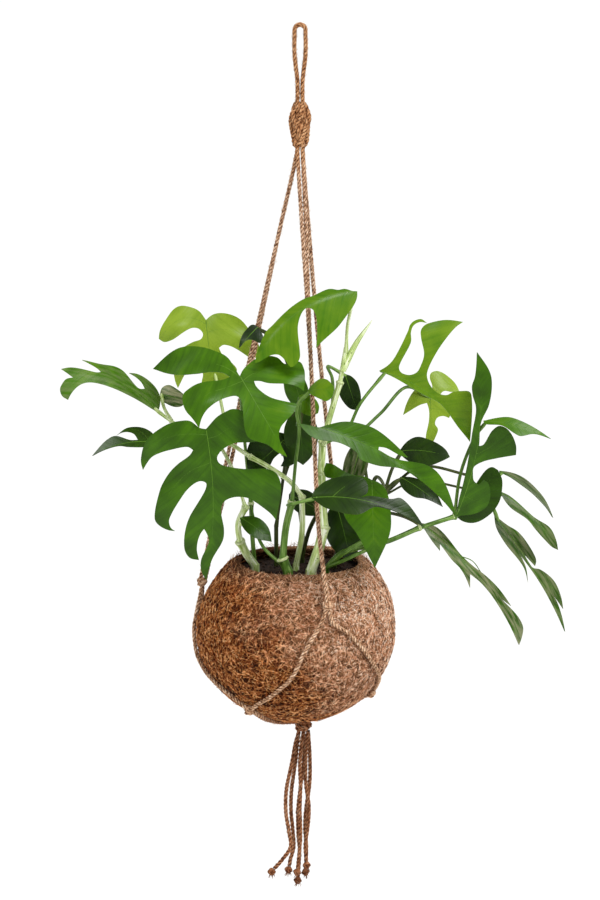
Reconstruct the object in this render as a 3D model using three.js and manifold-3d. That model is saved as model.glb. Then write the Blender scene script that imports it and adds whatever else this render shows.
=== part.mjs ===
// A mini monstera in a coconut-fibre ball pot, hung in a knotted jute rope hanger.
// Millimetres, +Z up, +X to the right of the front view, +Y to the back.
// The origin is the inner top of the rope loop, where a hook bears.
import * as THREE from 'three';
import { mergeVertices } from 'three/addons/utils/BufferGeometryUtils.js';
import Module from 'manifold-3d';

const wasm = await Module();
wasm.setup();

// Driving dimensions of the ball pot
const ballRadius = 100;
const ballDepth = 89.5;         // from the ball's middle down to its lowest point
const ballMiddleZ = -608;
const ballSway = -4.5;         // how far the body hangs to the left of its rim
const rimZ = -536;
const wallThickness = 7;
const soilTopZ = -546;
const fitGap = 0.3;            // between pieces that touch
const ballSegments = 30;
const soilCrownRise = 4;       // how far the soil stands up towards the middle

// Driving dimensions of the rope
const cordRadius = 2.3;
const cordSides = 8;
const pairOffset = cordRadius + 0.22;   // half the distance between two cords of a pair
const rowSpacing = 2 * pairOffset;
const loopHalfWidth = 5.3;
const loopTopZ = 2.3;          // centreline of the cord where it bends over the hook
const neckTopZ = -52;
const topKnotZ = -95;
const topKnotHalf = [9.2, 9.6, 23];
const bundleZ = -118.6;        // where the six cords leave the top knot
const smallKnotHalf = [4.3, 4.3, 4.8];
const netSpread = 1.2;         // of the two net cords to either side of an upper knot's middle
const upperKnotDistance = 110; // from the ball's middle
const lowerKnotDistance = 106;
const netClearance = cordRadius + fitGap + 0.4;
const bottomKnot = [3.5, 0, -706.5];
const bottomKnotHalf = [7.4, 7.4, 6.8];
const endKnotHalf = [3.6, 3.6, 4.2];
const knotProbeLength = 40;     // longer than any knot's half length

// Driving dimensions of the plant
const bladeThickness = 0.9;
const longestEdge = 64;        // of a blade's triangles before it is bent
const stemBottomZ = -578;
const stemSurfaceZ = -534;     // stems stand straight up to here, above the soil
const holeClearance = 0.35;
const holeDepth = 60;          // drilled up from a stem's foot, past the soil's surface
const spikeSides = 6;
const stemSides = 7;
const stalkSides = 5;
const stalkRadius = 1.7;

const radians = THREE.MathUtils.degToRad;
const vec = (x, y, z) => new THREE.Vector3(x, y, z);
const point = (p) => new THREE.Vector3(...p);

// Colours and finishes
const coir = new THREE.MeshStandardMaterial({ color: 0x6b4a2c, roughness: 0.95, metalness: 0 });
const soilEarth = new THREE.MeshStandardMaterial({ color: 0x2b1d14, roughness: 1, metalness: 0 });
const jute = new THREE.MeshStandardMaterial({ color: 0xb9925c, roughness: 0.9, metalness: 0 });
const leafGreen = new THREE.MeshStandardMaterial({ color: 0x4d7f2b, roughness: 0.45, metalness: 0 });

const group = new THREE.Group();

function addMesh(name, geometry, material) {
  const mesh = new THREE.Mesh(geometry, material);
  mesh.name = name;
  group.add(mesh);
}

// Solids to and from closed triangle meshes
function solidOf(geometry) {
  const plain = geometry.clone();
  plain.deleteAttribute('normal');
  plain.deleteAttribute('uv');
  const merged = mergeVertices(plain, 1e-4);
  return new wasm.Manifold(new wasm.Mesh({
    numProp: 3,
    vertProperties: new Float32Array(merged.attributes.position.array),
    triVerts: new Uint32Array(merged.index.array),
  }));
}

function geometryOf(solid) {
  const mesh = solid.getMesh();
  const geometry = new THREE.BufferGeometry();
  geometry.setAttribute('position', new THREE.BufferAttribute(mesh.vertProperties, 3));
  geometry.setIndex(new THREE.BufferAttribute(mesh.triVerts, 1));
  return geometry;
}

function joined(geometries) {
  return geometries.map(solidOf).reduce((whole, part) => whole.add(part));
}

// A round tube along a smooth curve through the points
function tube(points, radius, sides, steps) {
  const section = new THREE.Shape();
  for (let i = 0; i < sides; i += 1) {
    const turn = (2 * Math.PI * i) / sides;
    const x = radius * Math.cos(turn);
    const y = radius * Math.sin(turn);
    if (i === 0) section.moveTo(x, y);
    else section.lineTo(x, y);
  }
  section.closePath();
  const path = new THREE.CatmullRomCurve3(points, false, 'centripetal');
  return new THREE.ExtrudeGeometry(section, { steps, extrudePath: path, bevelEnabled: false });
}

function cord(name, points, steps) {
  addMesh(name, tube(points, cordRadius, cordSides, steps), jute);
}

// Directions round the ball: azimuth 0 is the front and 90 the right
function outward(azimuth) {
  return vec(Math.sin(radians(azimuth)), -Math.cos(radians(azimuth)), 0);
}

function sideways(azimuth) {
  return vec(Math.cos(radians(azimuth)), Math.sin(radians(azimuth)), 0);
}

// The hand-moulded ball is a little lumpy, and its body hangs to the left of its rim
function lump(azimuth, latitude) {
  const turn = radians(azimuth);
  const rise = radians(latitude);
  return 1 + Math.cos(rise) * (0.011 * Math.sin(3 * turn + 1) + 0.007 * Math.sin(5 * turn + 3 * rise));
}

function ballPoint(azimuth, latitude, distance) {
  const rise = radians(latitude);
  const reach = distance * lump(azimuth, latitude);
  const height = latitude < 0 ? reach - (ballRadius - ballDepth) : reach;
  const place = outward(azimuth).multiplyScalar(reach * Math.cos(rise));
  place.z = ballMiddleZ + height * Math.sin(rise);
  place.x += ballSway * THREE.MathUtils.smoothstep(ballMiddleZ - place.z, -70, 0);
  return place;
}

// Shapes of revolution in ball terms: each profile point is a latitude and a distance
function ballLathe(profile) {
  const flat = profile.map(([latitude, distance]) => {
    const rise = radians(latitude);
    return new THREE.Vector2(Math.max(0, distance * Math.cos(rise)), distance * Math.sin(rise));
  });
  flat[0].x = 0;
  flat[flat.length - 1].x = 0;
  const lathe = new THREE.LatheGeometry(flat, ballSegments);
  lathe.deleteAttribute('normal');
  lathe.deleteAttribute('uv');
  const geometry = mergeVertices(lathe, 1e-4);
  const position = geometry.attributes.position;
  for (let i = 0; i < position.count; i += 1) {
    const across = Math.hypot(position.getX(i), position.getZ(i));
    const azimuth = THREE.MathUtils.radToDeg(Math.atan2(position.getX(i), -position.getZ(i)));
    const latitude = THREE.MathUtils.radToDeg(Math.atan2(position.getY(i), across));
    const place = ballPoint(azimuth, latitude, Math.hypot(across, position.getY(i)));
    position.setXYZ(i, place.x, place.y, place.z);
  }
  return geometry;
}

function latitudeAt(z, distance) {
  return THREE.MathUtils.radToDeg(Math.asin((z - ballMiddleZ) / distance));
}

function arcProfile(distance, from, to, rings) {
  return Array.from({ length: rings + 1 }, (_, i) => [from + ((to - from) * i) / rings, distance]);
}

function facingOut(geometry) {
  const solid = solidOf(geometry);
  if (solid.volume() > 0) return geometry;
  const index = geometry.index.array;
  for (let i = 0; i < index.length; i += 3) {
    [index[i], index[i + 1]] = [index[i + 1], index[i]];
  }
  return geometry;
}

// The soil meets the inside of the wall along the same rings, so its gap stays even
const insideRadius = ballRadius - wallThickness;
const soilEdge = latitudeAt(soilTopZ, insideRadius);
const wallRings = arcProfile(insideRadius, soilEdge, -90, 6);

function makePot() {
  const outerRim = latitudeAt(rimZ, ballRadius);
  const innerRim = latitudeAt(rimZ, insideRadius);
  const rimCrown = [(outerRim + innerRim) / 2, ballRadius - wallThickness / 2 + 3];
  const outer = arcProfile(ballRadius, -90, outerRim, 8);
  const profile = [...outer, rimCrown, [innerRim, insideRadius], ...wallRings];
  addMesh('coir_ball_pot', facingOut(ballLathe(profile)), coir);
}

// Stems stand in the soil in plain holes
const stemFeet = [];

function makeSoil() {
  const wall = wallRings.map(([latitude, distance]) => [latitude, distance - fitGap]);
  const edgeRadius = insideRadius * Math.cos(radians(soilEdge));
  const crownHeight = soilTopZ - ballMiddleZ + soilCrownRise;
  const crownReach = 0.6 * edgeRadius;
  const crownLatitude = THREE.MathUtils.radToDeg(Math.atan2(crownHeight, crownReach));
  const crown = [crownLatitude, Math.hypot(crownHeight, crownReach)];
  const profile = [[90, crownHeight + 1], crown, ...wall];
  let soil = solidOf(facingOut(ballLathe(profile)));
  for (const foot of stemFeet) {
    const drill = new THREE.CylinderGeometry(foot.radius, foot.radius, holeDepth, 8);
    drill.rotateX(Math.PI / 2);
    drill.translate(foot.x, foot.y, stemBottomZ - fitGap + holeDepth / 2);
    soil = soil.subtract(solidOf(drill));
  }
  addMesh('potting_soil', geometryOf(soil), soilEarth);
}

const knotSolids = new Map();

// A knot is a firm core with turns of the cord crossing over it
function knot(name, centre, half, turns, coreDetail) {
  const core = new THREE.SphereGeometry(1, coreDetail[0], coreDetail[1]);
  core.rotateX(Math.PI / 2);
  core.scale(...half);
  const parts = [core];
  for (const turn of turns) {
    const ring = new THREE.TorusGeometry(turn.radius, turn.thickness, 4, turn.sides ?? 6);
    ring.rotateX(radians(turn.tilt));
    ring.rotateZ(radians(turn.heading));
    ring.translate(0, 0, turn.height ?? 0);
    parts.push(ring);
  }
  const solid = joined(parts).translate(centre.x, centre.y, centre.z);
  knotSolids.set(name, solid);
  addMesh(name, geometryOf(solid), jute);
}

// Where a cord that comes along a line ends against a knot: the line starts inside the knot
// and leads away from it, and the cord stops a fit gap short of what lies in its way
function cordEndAt(name, inside, away) {
  const way = away.clone().normalize();
  const probe = new THREE.CylinderGeometry(cordRadius, cordRadius, knotProbeLength, cordSides);
  probe.applyQuaternion(new THREE.Quaternion().setFromUnitVectors(vec(0, 1, 0), way));
  probe.translate(...inside.clone().addScaledVector(way, knotProbeLength / 2).toArray());
  const met = knotSolids.get(name).intersect(solidOf(probe)).getMesh().vertProperties;
  let reach = 0;
  for (let i = 0; i < met.length; i += 3) {
    reach = Math.max(reach, vec(met[i], met[i + 1], met[i + 2]).sub(inside).dot(way));
  }
  return inside.clone().addScaledVector(way, reach + fitGap);
}

const smallTurns = [
  { radius: 3.5, thickness: 1.9, tilt: 22, heading: 20 },
  { radius: 3.5, thickness: 1.9, tilt: -24, heading: 70 },
];

// The loop: three cords fold over the hook side by side, one behind the other
function makeLoop() {
  for (const row of [-1, 0, 1]) {
    const y = row * rowSpacing;
    const [left, right] = [-pairOffset, pairOffset].map((x) => (
      cordEndAt('top_knot', vec(x, y, topKnotZ), vec(0, 0, 1))
    ));
    const points = [left, vec(-pairOffset, y, neckTopZ)];
    points.push(vec(-loopHalfWidth, y, -27));
    points.push(vec(-loopHalfWidth, y, -8));
    for (const turn of [160, 125, 90, 55, 20]) {
      const x = loopHalfWidth * Math.cos(radians(turn));
      points.push(vec(x, y, loopTopZ - loopHalfWidth + loopHalfWidth * Math.sin(radians(turn))));
    }
    points.push(vec(loopHalfWidth, y, -8), vec(loopHalfWidth, y, -27));
    points.push(vec(pairOffset, y, neckTopZ), right);
    cord(`loop_cord_${row + 2}`, points, 16);
  }
}

function makeTopKnot() {
  const turns = [
    { radius: 8.4, thickness: 2.4, tilt: 34, heading: 15, height: 10, sides: 9 },
    { radius: 9.1, thickness: 2.4, tilt: -38, heading: 95, height: 5, sides: 9 },
    { radius: 8.9, thickness: 2.4, tilt: 30, heading: 160, height: -2, sides: 9 },
    { radius: 7.6, thickness: 2.4, tilt: -30, heading: 40, height: -9, sides: 9 },
  ];
  knot('top_knot', vec(0, 0, topKnotZ), topKnotHalf, turns, [9, 7]);
}

// Three pairs of cords run from the top knot to the ball
const upperAzimuths = { front: 16.6, rear: 152.8, left: -99.8 };
const upperKnots = {
  front: ballPoint(upperAzimuths.front, 28.2, upperKnotDistance),
  rear: ballPoint(upperAzimuths.rear, 27, upperKnotDistance),
  left: ballPoint(upperAzimuths.left, 25.5, upperKnotDistance),
};
const lowerAzimuths = { left: -35.7, right: 90, rear: -151.2 };
const lowerKnots = {
  left: ballPoint(lowerAzimuths.left, -42.2, lowerKnotDistance),
  right: ballPoint(lowerAzimuths.right, -43.3, lowerKnotDistance),
  rear: ballPoint(lowerAzimuths.rear, -43.3, lowerKnotDistance),
};

// Where each pair starts under the top knot, and at each sixth of its way down how far it has
// turned and how far it bows to the left
const legs = [
  {
    side: 'front', start: vec(0, -rowSpacing, bundleZ),
    turns: [0, 40, 75, 90, 90, 90, 90], bows: [0, 0.7, 1.4, 2.3, 3.7, 4.4, 0],
  },
  {
    side: 'rear', start: vec(pairOffset, rowSpacing / 2, bundleZ),
    turns: [90, 90, 90, 90, 90, 90, 90], bows: [0, 1.5, 2.5, 3, 2.6, 1.6, 0],
  },
  {
    side: 'left', start: vec(-pairOffset, rowSpacing / 2, bundleZ),
    turns: [90, 90, 72, 45, 20, 5, 0], bows: [0, 0, 0, 0, 0, 0, 0],
  },
];

function legPoints(leg, side) {
  const shiftAt = (turn) => (
    vec(Math.cos(radians(turn)), Math.sin(radians(turn)), 0).multiplyScalar(side * pairOffset)
  );
  const down = upperKnots[leg.side].clone().sub(leg.start);
  const inside = leg.start.clone().add(shiftAt(leg.turns[0]));
  inside.z = topKnotZ;
  const first = cordEndAt('top_knot', inside, down).add(vec(0, 0, -fitGap));
  const last = upperKnots[leg.side].clone().add(shiftAt(leg.turns[6]));
  const end = cordEndAt(`${leg.side}_upper_knot`, last, down.negate());
  const points = [first];
  for (let i = 1; i < 6; i += 1) {
    const share = i / 6;
    const place = leg.start.clone().lerp(upperKnots[leg.side], share);
    place.x -= leg.bows[i];
    points.push(place.add(shiftAt(leg.turns[i])));
  }
  return [...points, end];
}

function makeLegs() {
  for (const leg of legs) {
    knot(`${leg.side}_upper_knot`, upperKnots[leg.side], smallKnotHalf, smallTurns, [6, 5]);
    cord(`${leg.side}_leg_cord_a`, legPoints(leg, -1), 6);
    cord(`${leg.side}_leg_cord_b`, legPoints(leg, 1), 6);
  }
}

// Net cords lie on the ball from each upper knot to the lower knots on its two sides.
// Each route is a list of azimuths and latitudes.
const netRoutes = {
  front_left: {
    from: 'front', to: 'left',
    bends: [[12.9, 18.5], [9, 12], [3.9, 2.2], [-1.9, -11.5], [-14.4, -26], [-27.1, -36.1]],
  },
  front_right: {
    from: 'front', to: 'right',
    bends: [[20, 19.5], [30.9, 12], [43.1, -1.2], [51.2, -10.8], [63.3, -22.2], [77, -34.4]],
  },
  left_front: {
    from: 'left', to: 'left',
    bends: [[-96.5, 18], [-93.5, 10], [-91, 0], [-85, -13.5], [-67.9, -23.9], [-49, -33.8]],
  },
  left_rear: {
    from: 'left', to: 'rear',
    bends: [[-103.5, 18], [-107, 8], [-112.9, -4.3], [-122.3, -18.4], [-135.5, -31.6]],
  },
  rear_right: {
    from: 'rear', to: 'right',
    bends: [[149, 19.5], [142, 9], [131, -4.3], [116, -19.5], [101.5, -32.7]],
  },
  rear_left: {
    from: 'rear', to: 'rear',
    bends: [[156.5, 19.5], [162, 8], [170, -5.4], [182, -20.6], [196.5, -33.8]],
  },
};

function makeNet() {
  for (const side of ['left', 'right', 'rear']) {
    knot(`${side}_lower_knot`, lowerKnots[side], smallKnotHalf, smallTurns, [6, 5]);
  }
  for (const [name, { from, to, bends }] of Object.entries(netRoutes)) {
    const middle = bends.map(([azimuth, latitude], i) => {
      const lift = i === 0 ? 1.8 : 0;
      return ballPoint(azimuth, latitude, ballRadius + netClearance + lift);
    });
    const beside = sideways(upperAzimuths[from]);
    const turn = Math.sign(middle[0].clone().sub(upperKnots[from]).dot(beside));
    const top = upperKnots[from].clone().addScaledVector(beside, netSpread * turn);
    const bottom = lowerKnots[to];
    const first = cordEndAt(`${from}_upper_knot`, top, middle[0].clone().sub(top));
    const last = cordEndAt(`${to}_lower_knot`, bottom, middle[middle.length - 1].clone().sub(bottom));
    cord(`net_cord_${name}`, [first, ...middle, last], 8);
  }
}

// Pairs of cords run on under the ball to the bottom knot
function makeUnderCords() {
  const middle = point(bottomKnot);
  for (const [side, azimuth] of Object.entries(lowerAzimuths)) {
    for (const [mark, sign] of [['a', -1], ['b', 1]]) {
      const shift = sideways(azimuth).multiplyScalar(sign * pairOffset);
      const points = [-49, -58, -68, -78].map((latitude) => (
        ballPoint(azimuth, latitude, ballRadius + netClearance).add(shift)
      ));
      const top = lowerKnots[side].clone().add(shift);
      const bottom = middle.clone().add(shift);
      const start = cordEndAt(`${side}_lower_knot`, top, points[0].clone().sub(top));
      const end = cordEndAt('bottom_knot', bottom, points[points.length - 1].clone().sub(bottom));
      cord(`${side}_under_cord_${mark}`, [start, ...points.slice(1), end], 6);
    }
  }
}

// Six tails hang from the bottom knot, each ended by a knot of its own
const tails = [
  [
    [-4.6, -2.6], [-4.3, -5, -723.1], [-8.7, -9, -746.3], [-14, -10, -772.7], [-14.5, -10, -796.3],
    [-11.3, -10, -817.8], [-9.7, -11, -833.6], [-16.9, -12, -845.1], [-26.2, -12, -856.4],
  ],
  [
    [-4.6, 2.8], [-2.6, 3, -725.6], [-5.1, 2, -749.9], [-8.7, 1, -776.4], [-9.2, 0, -799.7],
    [-7.2, -1, -820.9], [-6.7, -2, -837.9], [-9.8, -3, -849.4], [-11, -4, -856.1],
  ],
  [
    [0, -5.4], [1.6, -8.5, -722], [-0.2, -9.5, -746.2], [0.5, -10, -767.4], [-0.2, -10, -794.1],
    [0.5, -9, -818.1], [-0.5, -8, -837.9], [-2.4, -8, -857.3],
  ],
  [
    [0, 5.4], [3.6, 7, -726.9], [3.6, 7, -751.5], [0.5, 6, -774.8], [-2.1, 5, -799.2],
    [-1.9, 5, -823], [-0.5, 3.5, -844.1], [-2.1, 1, -869.3],
  ],
  [
    [4.6, -2.6], [6.6, -4, -723.4], [5.6, -3, -748.3], [6.1, -3, -769.7], [9.2, -4, -794],
    [7.7, -4.5, -815.4], [5.4, -4, -835], [6.5, -4.5, -851],
  ],
  [
    [4.6, 2.8], [9.2, 4, -726], [10.2, 4.5, -750.7], [9.7, 5, -772.3], [6.2, 5, -797.1],
    [5.1, 5, -818.7], [6.5, 6.5, -838.7], [5.8, 8, -863.1],
  ],
];

function makeTails() {
  tails.forEach(([[x, y], ...route], i) => {
    const inside = vec(bottomKnot[0] + x, bottomKnot[1] + y, bottomKnot[2]);
    const start = cordEndAt('bottom_knot', inside, vec(0, 0, -1));
    const points = [start, ...route.map(point)];
    cord(`tail_cord_${i + 1}`, points, 9);
    const last = points[points.length - 1];
    const before = points[points.length - 2];
    const onward = last.clone().sub(before).setLength(endKnotHalf[2] + fitGap);
    const centre = last.clone().add(onward);
    const turn = [{ radius: 2.7, thickness: 1.8, tilt: 18, heading: 50 * i }];
    knot(`tail_knot_${i + 1}`, centre, endKnotHalf, turn, [6, 4]);
  });
}

function makeBottomKnot() {
  const turns = [
    { radius: 6.9, thickness: 2.3, tilt: 14, heading: 30, height: 0.6, sides: 9 },
    { radius: 6.6, thickness: 2.3, tilt: -14, heading: 100, height: -1.4, sides: 9 },
  ];
  knot('bottom_knot', point(bottomKnot), bottomKnotHalf, turns, [7, 5]);
}

// A leaf blade runs from its base to its tip and faces one way. droop is how far it turns
// over from base to tip, fold how far its halves rise from the midrib, curl how far they
// turn down again, twist its turn about the midrib (all degrees), sway the midrib's bow.
// Each side lists its edge from base to tip: how far out from the midrib and how far along,
// both as shares of the leaf's length.
function leafFrame(leaf) {
  const base = point(leaf.base);
  const chord = point(leaf.tip).sub(base);
  const along = chord.clone().normalize();
  const face = point(leaf.face);
  face.addScaledVector(along, -face.dot(along)).normalize();
  const across = along.clone().cross(face);
  const droop = Math.max(radians(leaf.droop ?? 30), 0.01);
  const length = (chord.length() * droop) / 2 / Math.sin(droop / 2);
  return { base, along, face, across, droop, length };
}

function bladePoint(leaf, frame, x, y, lift) {
  const rate = frame.droop / frame.length;
  const slope = frame.droop / 2 - rate * y;
  const forward = (Math.sin(frame.droop / 2) - Math.sin(slope)) / rate;
  const height = (Math.cos(slope) - Math.cos(frame.droop / 2)) / rate;
  const fold = radians(leaf.fold ?? 12);
  const curlRate = Math.max(radians(leaf.curl ?? 30), 0.01) / (0.5 * frame.length);
  const tilt = x === 0 ? 0 : fold - curlRate * Math.abs(x);
  const reach = x === 0 ? 0 : (Math.sin(fold) - Math.sin(tilt)) / curlRate;
  const rise = x === 0 ? 0 : (Math.cos(tilt) - Math.cos(fold)) / curlRate;
  const share = y / frame.length;
  const edge = Math.min(1, (2.5 * Math.abs(x)) / frame.length) ** 2;
  const wave = 0.02 * frame.length * edge * Math.sin(14 * share + (x > 0 ? 1 : 3));
  const side = Math.sign(x) * (reach - Math.sin(tilt) * (lift + wave));
  const up = rise + Math.cos(tilt) * (lift + wave);
  const twist = radians(leaf.twist ?? 0) * share;
  const sway = (leaf.sway ?? 0) * frame.length * 4 * share * (1 - share);
  const lateral = side * Math.cos(twist) - up * Math.sin(twist) + sway;
  const vertical = side * Math.sin(twist) + up * Math.cos(twist);
  return frame.base.clone()
    .addScaledVector(frame.along, forward - vertical * Math.sin(slope))
    .addScaledVector(frame.face, height + vertical * Math.cos(slope))
    .addScaledVector(frame.across, lateral);
}

// Both halves as triangles that share the midrib's points
function flatBlade(leaf, length) {
  const points = [];
  const triangles = [];
  const rib = [0, 0.25, 0.5, 0.75, 1].map((y) => points.push(new THREE.Vector2(0, y)) - 1);
  for (const [sign, edge] of [[1, leaf.right], [-1, leaf.left]]) {
    const numbers = [rib[0]];
    for (const [x, y] of edge) numbers.push(points.push(new THREE.Vector2(sign * x, y)) - 1);
    numbers.push(...rib.slice(1).reverse());
    const loop = numbers.map((n) => points[n]);
    for (const face of THREE.ShapeUtils.triangulateShape(loop, [])) {
      const [a, b, c] = face.map((n) => numbers[n]);
      const turn = points[b].clone().sub(points[a]).cross(points[c].clone().sub(points[a]));
      triangles.push(turn > 0 ? [a, b, c] : [a, c, b]);
    }
  }
  for (const p of points) p.multiplyScalar(length);
  return { points, triangles };
}

// Halves the longest edge, in both triangles that share it, until none is too long
function refineBlade(points, triangles) {
  for (;;) {
    let worst = longestEdge;
    let edge = null;
    for (const face of triangles) {
      for (let i = 0; i < 3; i += 1) {
        const a = face[i];
        const b = face[(i + 1) % 3];
        const size = points[a].distanceTo(points[b]);
        if (size > worst + 1e-6) {
          worst = size;
          edge = [a, b];
        }
      }
    }
    if (!edge) return;
    const middle = points.push(points[edge[0]].clone().lerp(points[edge[1]], 0.5)) - 1;
    for (let f = triangles.length - 1; f >= 0; f -= 1) {
      const face = triangles[f];
      const at = face.findIndex((n, i) => edge.includes(n) && edge.includes(face[(i + 1) % 3]));
      if (at >= 0) {
        const [a, b, c] = [face[at], face[(at + 1) % 3], face[(at + 2) % 3]];
        triangles[f] = [a, middle, c];
        triangles.push([middle, b, c]);
      }
    }
  }
}

function bladeGeometry(leaf) {
  const frame = leafFrame(leaf);
  const { points, triangles } = flatBlade(leaf, frame.length);
  refineBlade(points, triangles);
  const places = [];
  for (const lift of [bladeThickness / 2, -bladeThickness / 2]) {
    for (const p of points) places.push(...bladePoint(leaf, frame, p.x, p.y, lift).toArray());
  }
  const under = points.length;
  const used = new Set(triangles.flatMap(([a, b, c]) => [`${a} ${b}`, `${b} ${c}`, `${c} ${a}`]));
  const index = [];
  for (const [a, b, c] of triangles) {
    index.push(a, b, c, a + under, c + under, b + under);
    for (const [p, q] of [[a, b], [b, c], [c, a]]) {
      if (!used.has(`${q} ${p}`)) index.push(q, p, p + under, q, p + under, q + under);
    }
  }
  const geometry = new THREE.BufferGeometry();
  geometry.setAttribute('position', new THREE.BufferAttribute(new Float32Array(places), 3));
  geometry.setIndex(index);
  return geometry;
}

// A leaf's stalk ends under its blade, along the midrib
function stalkGeometry(leaf) {
  const frame = leafFrame(leaf);
  const seat = bladePoint(leaf, frame, 0, 0.05 * frame.length, -0.7);
  const points = [...leaf.stalk.map(point), seat];
  return tube(points, leaf.stalkRadius ?? stalkRadius, stalkSides, leaf.stalkSteps ?? 3);
}

// A jointed stem: lengths between joints, each with its own radius, and a ring at each joint
function stemParts(joints) {
  const parts = [];
  for (const { from, through = [], to, radius, ring } of joints) {
    const points = [point(from), ...through.map(point), point(to)];
    parts.push(tube(points, radius, stemSides, 2 * through.length + 1));
    if (ring) {
      const joint = new THREE.SphereGeometry(ring, stemSides, 3);
      joint.scale(1, 1, 0.75);
      joint.translate(...to);
      parts.push(joint);
    }
  }
  return parts;
}

function spikeGeometry({ from, to, radius }) {
  const axis = point(to).sub(point(from));
  const cone = new THREE.ConeGeometry(radius, axis.length(), spikeSides);
  cone.translate(0, axis.length() / 2, 0);
  cone.applyQuaternion(new THREE.Quaternion().setFromUnitVectors(vec(0, 1, 0), axis.normalize()));
  cone.translate(...from);
  return cone;
}

function leafyStem(name, { feet, joints, leaves = [], spikes = [] }) {
  const parts = [...stemParts(joints), ...spikes.map(spikeGeometry)];
  for (const leaf of leaves) {
    parts.push(stalkGeometry(leaf));
    parts.push(bladeGeometry(leaf));
  }
  for (const [x, y, radius] of feet) {
    stemFeet.push({ x, y, radius: radius + holeClearance });
  }
  addMesh(name, geometryOf(joined(parts)), leafGreen);
}

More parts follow.
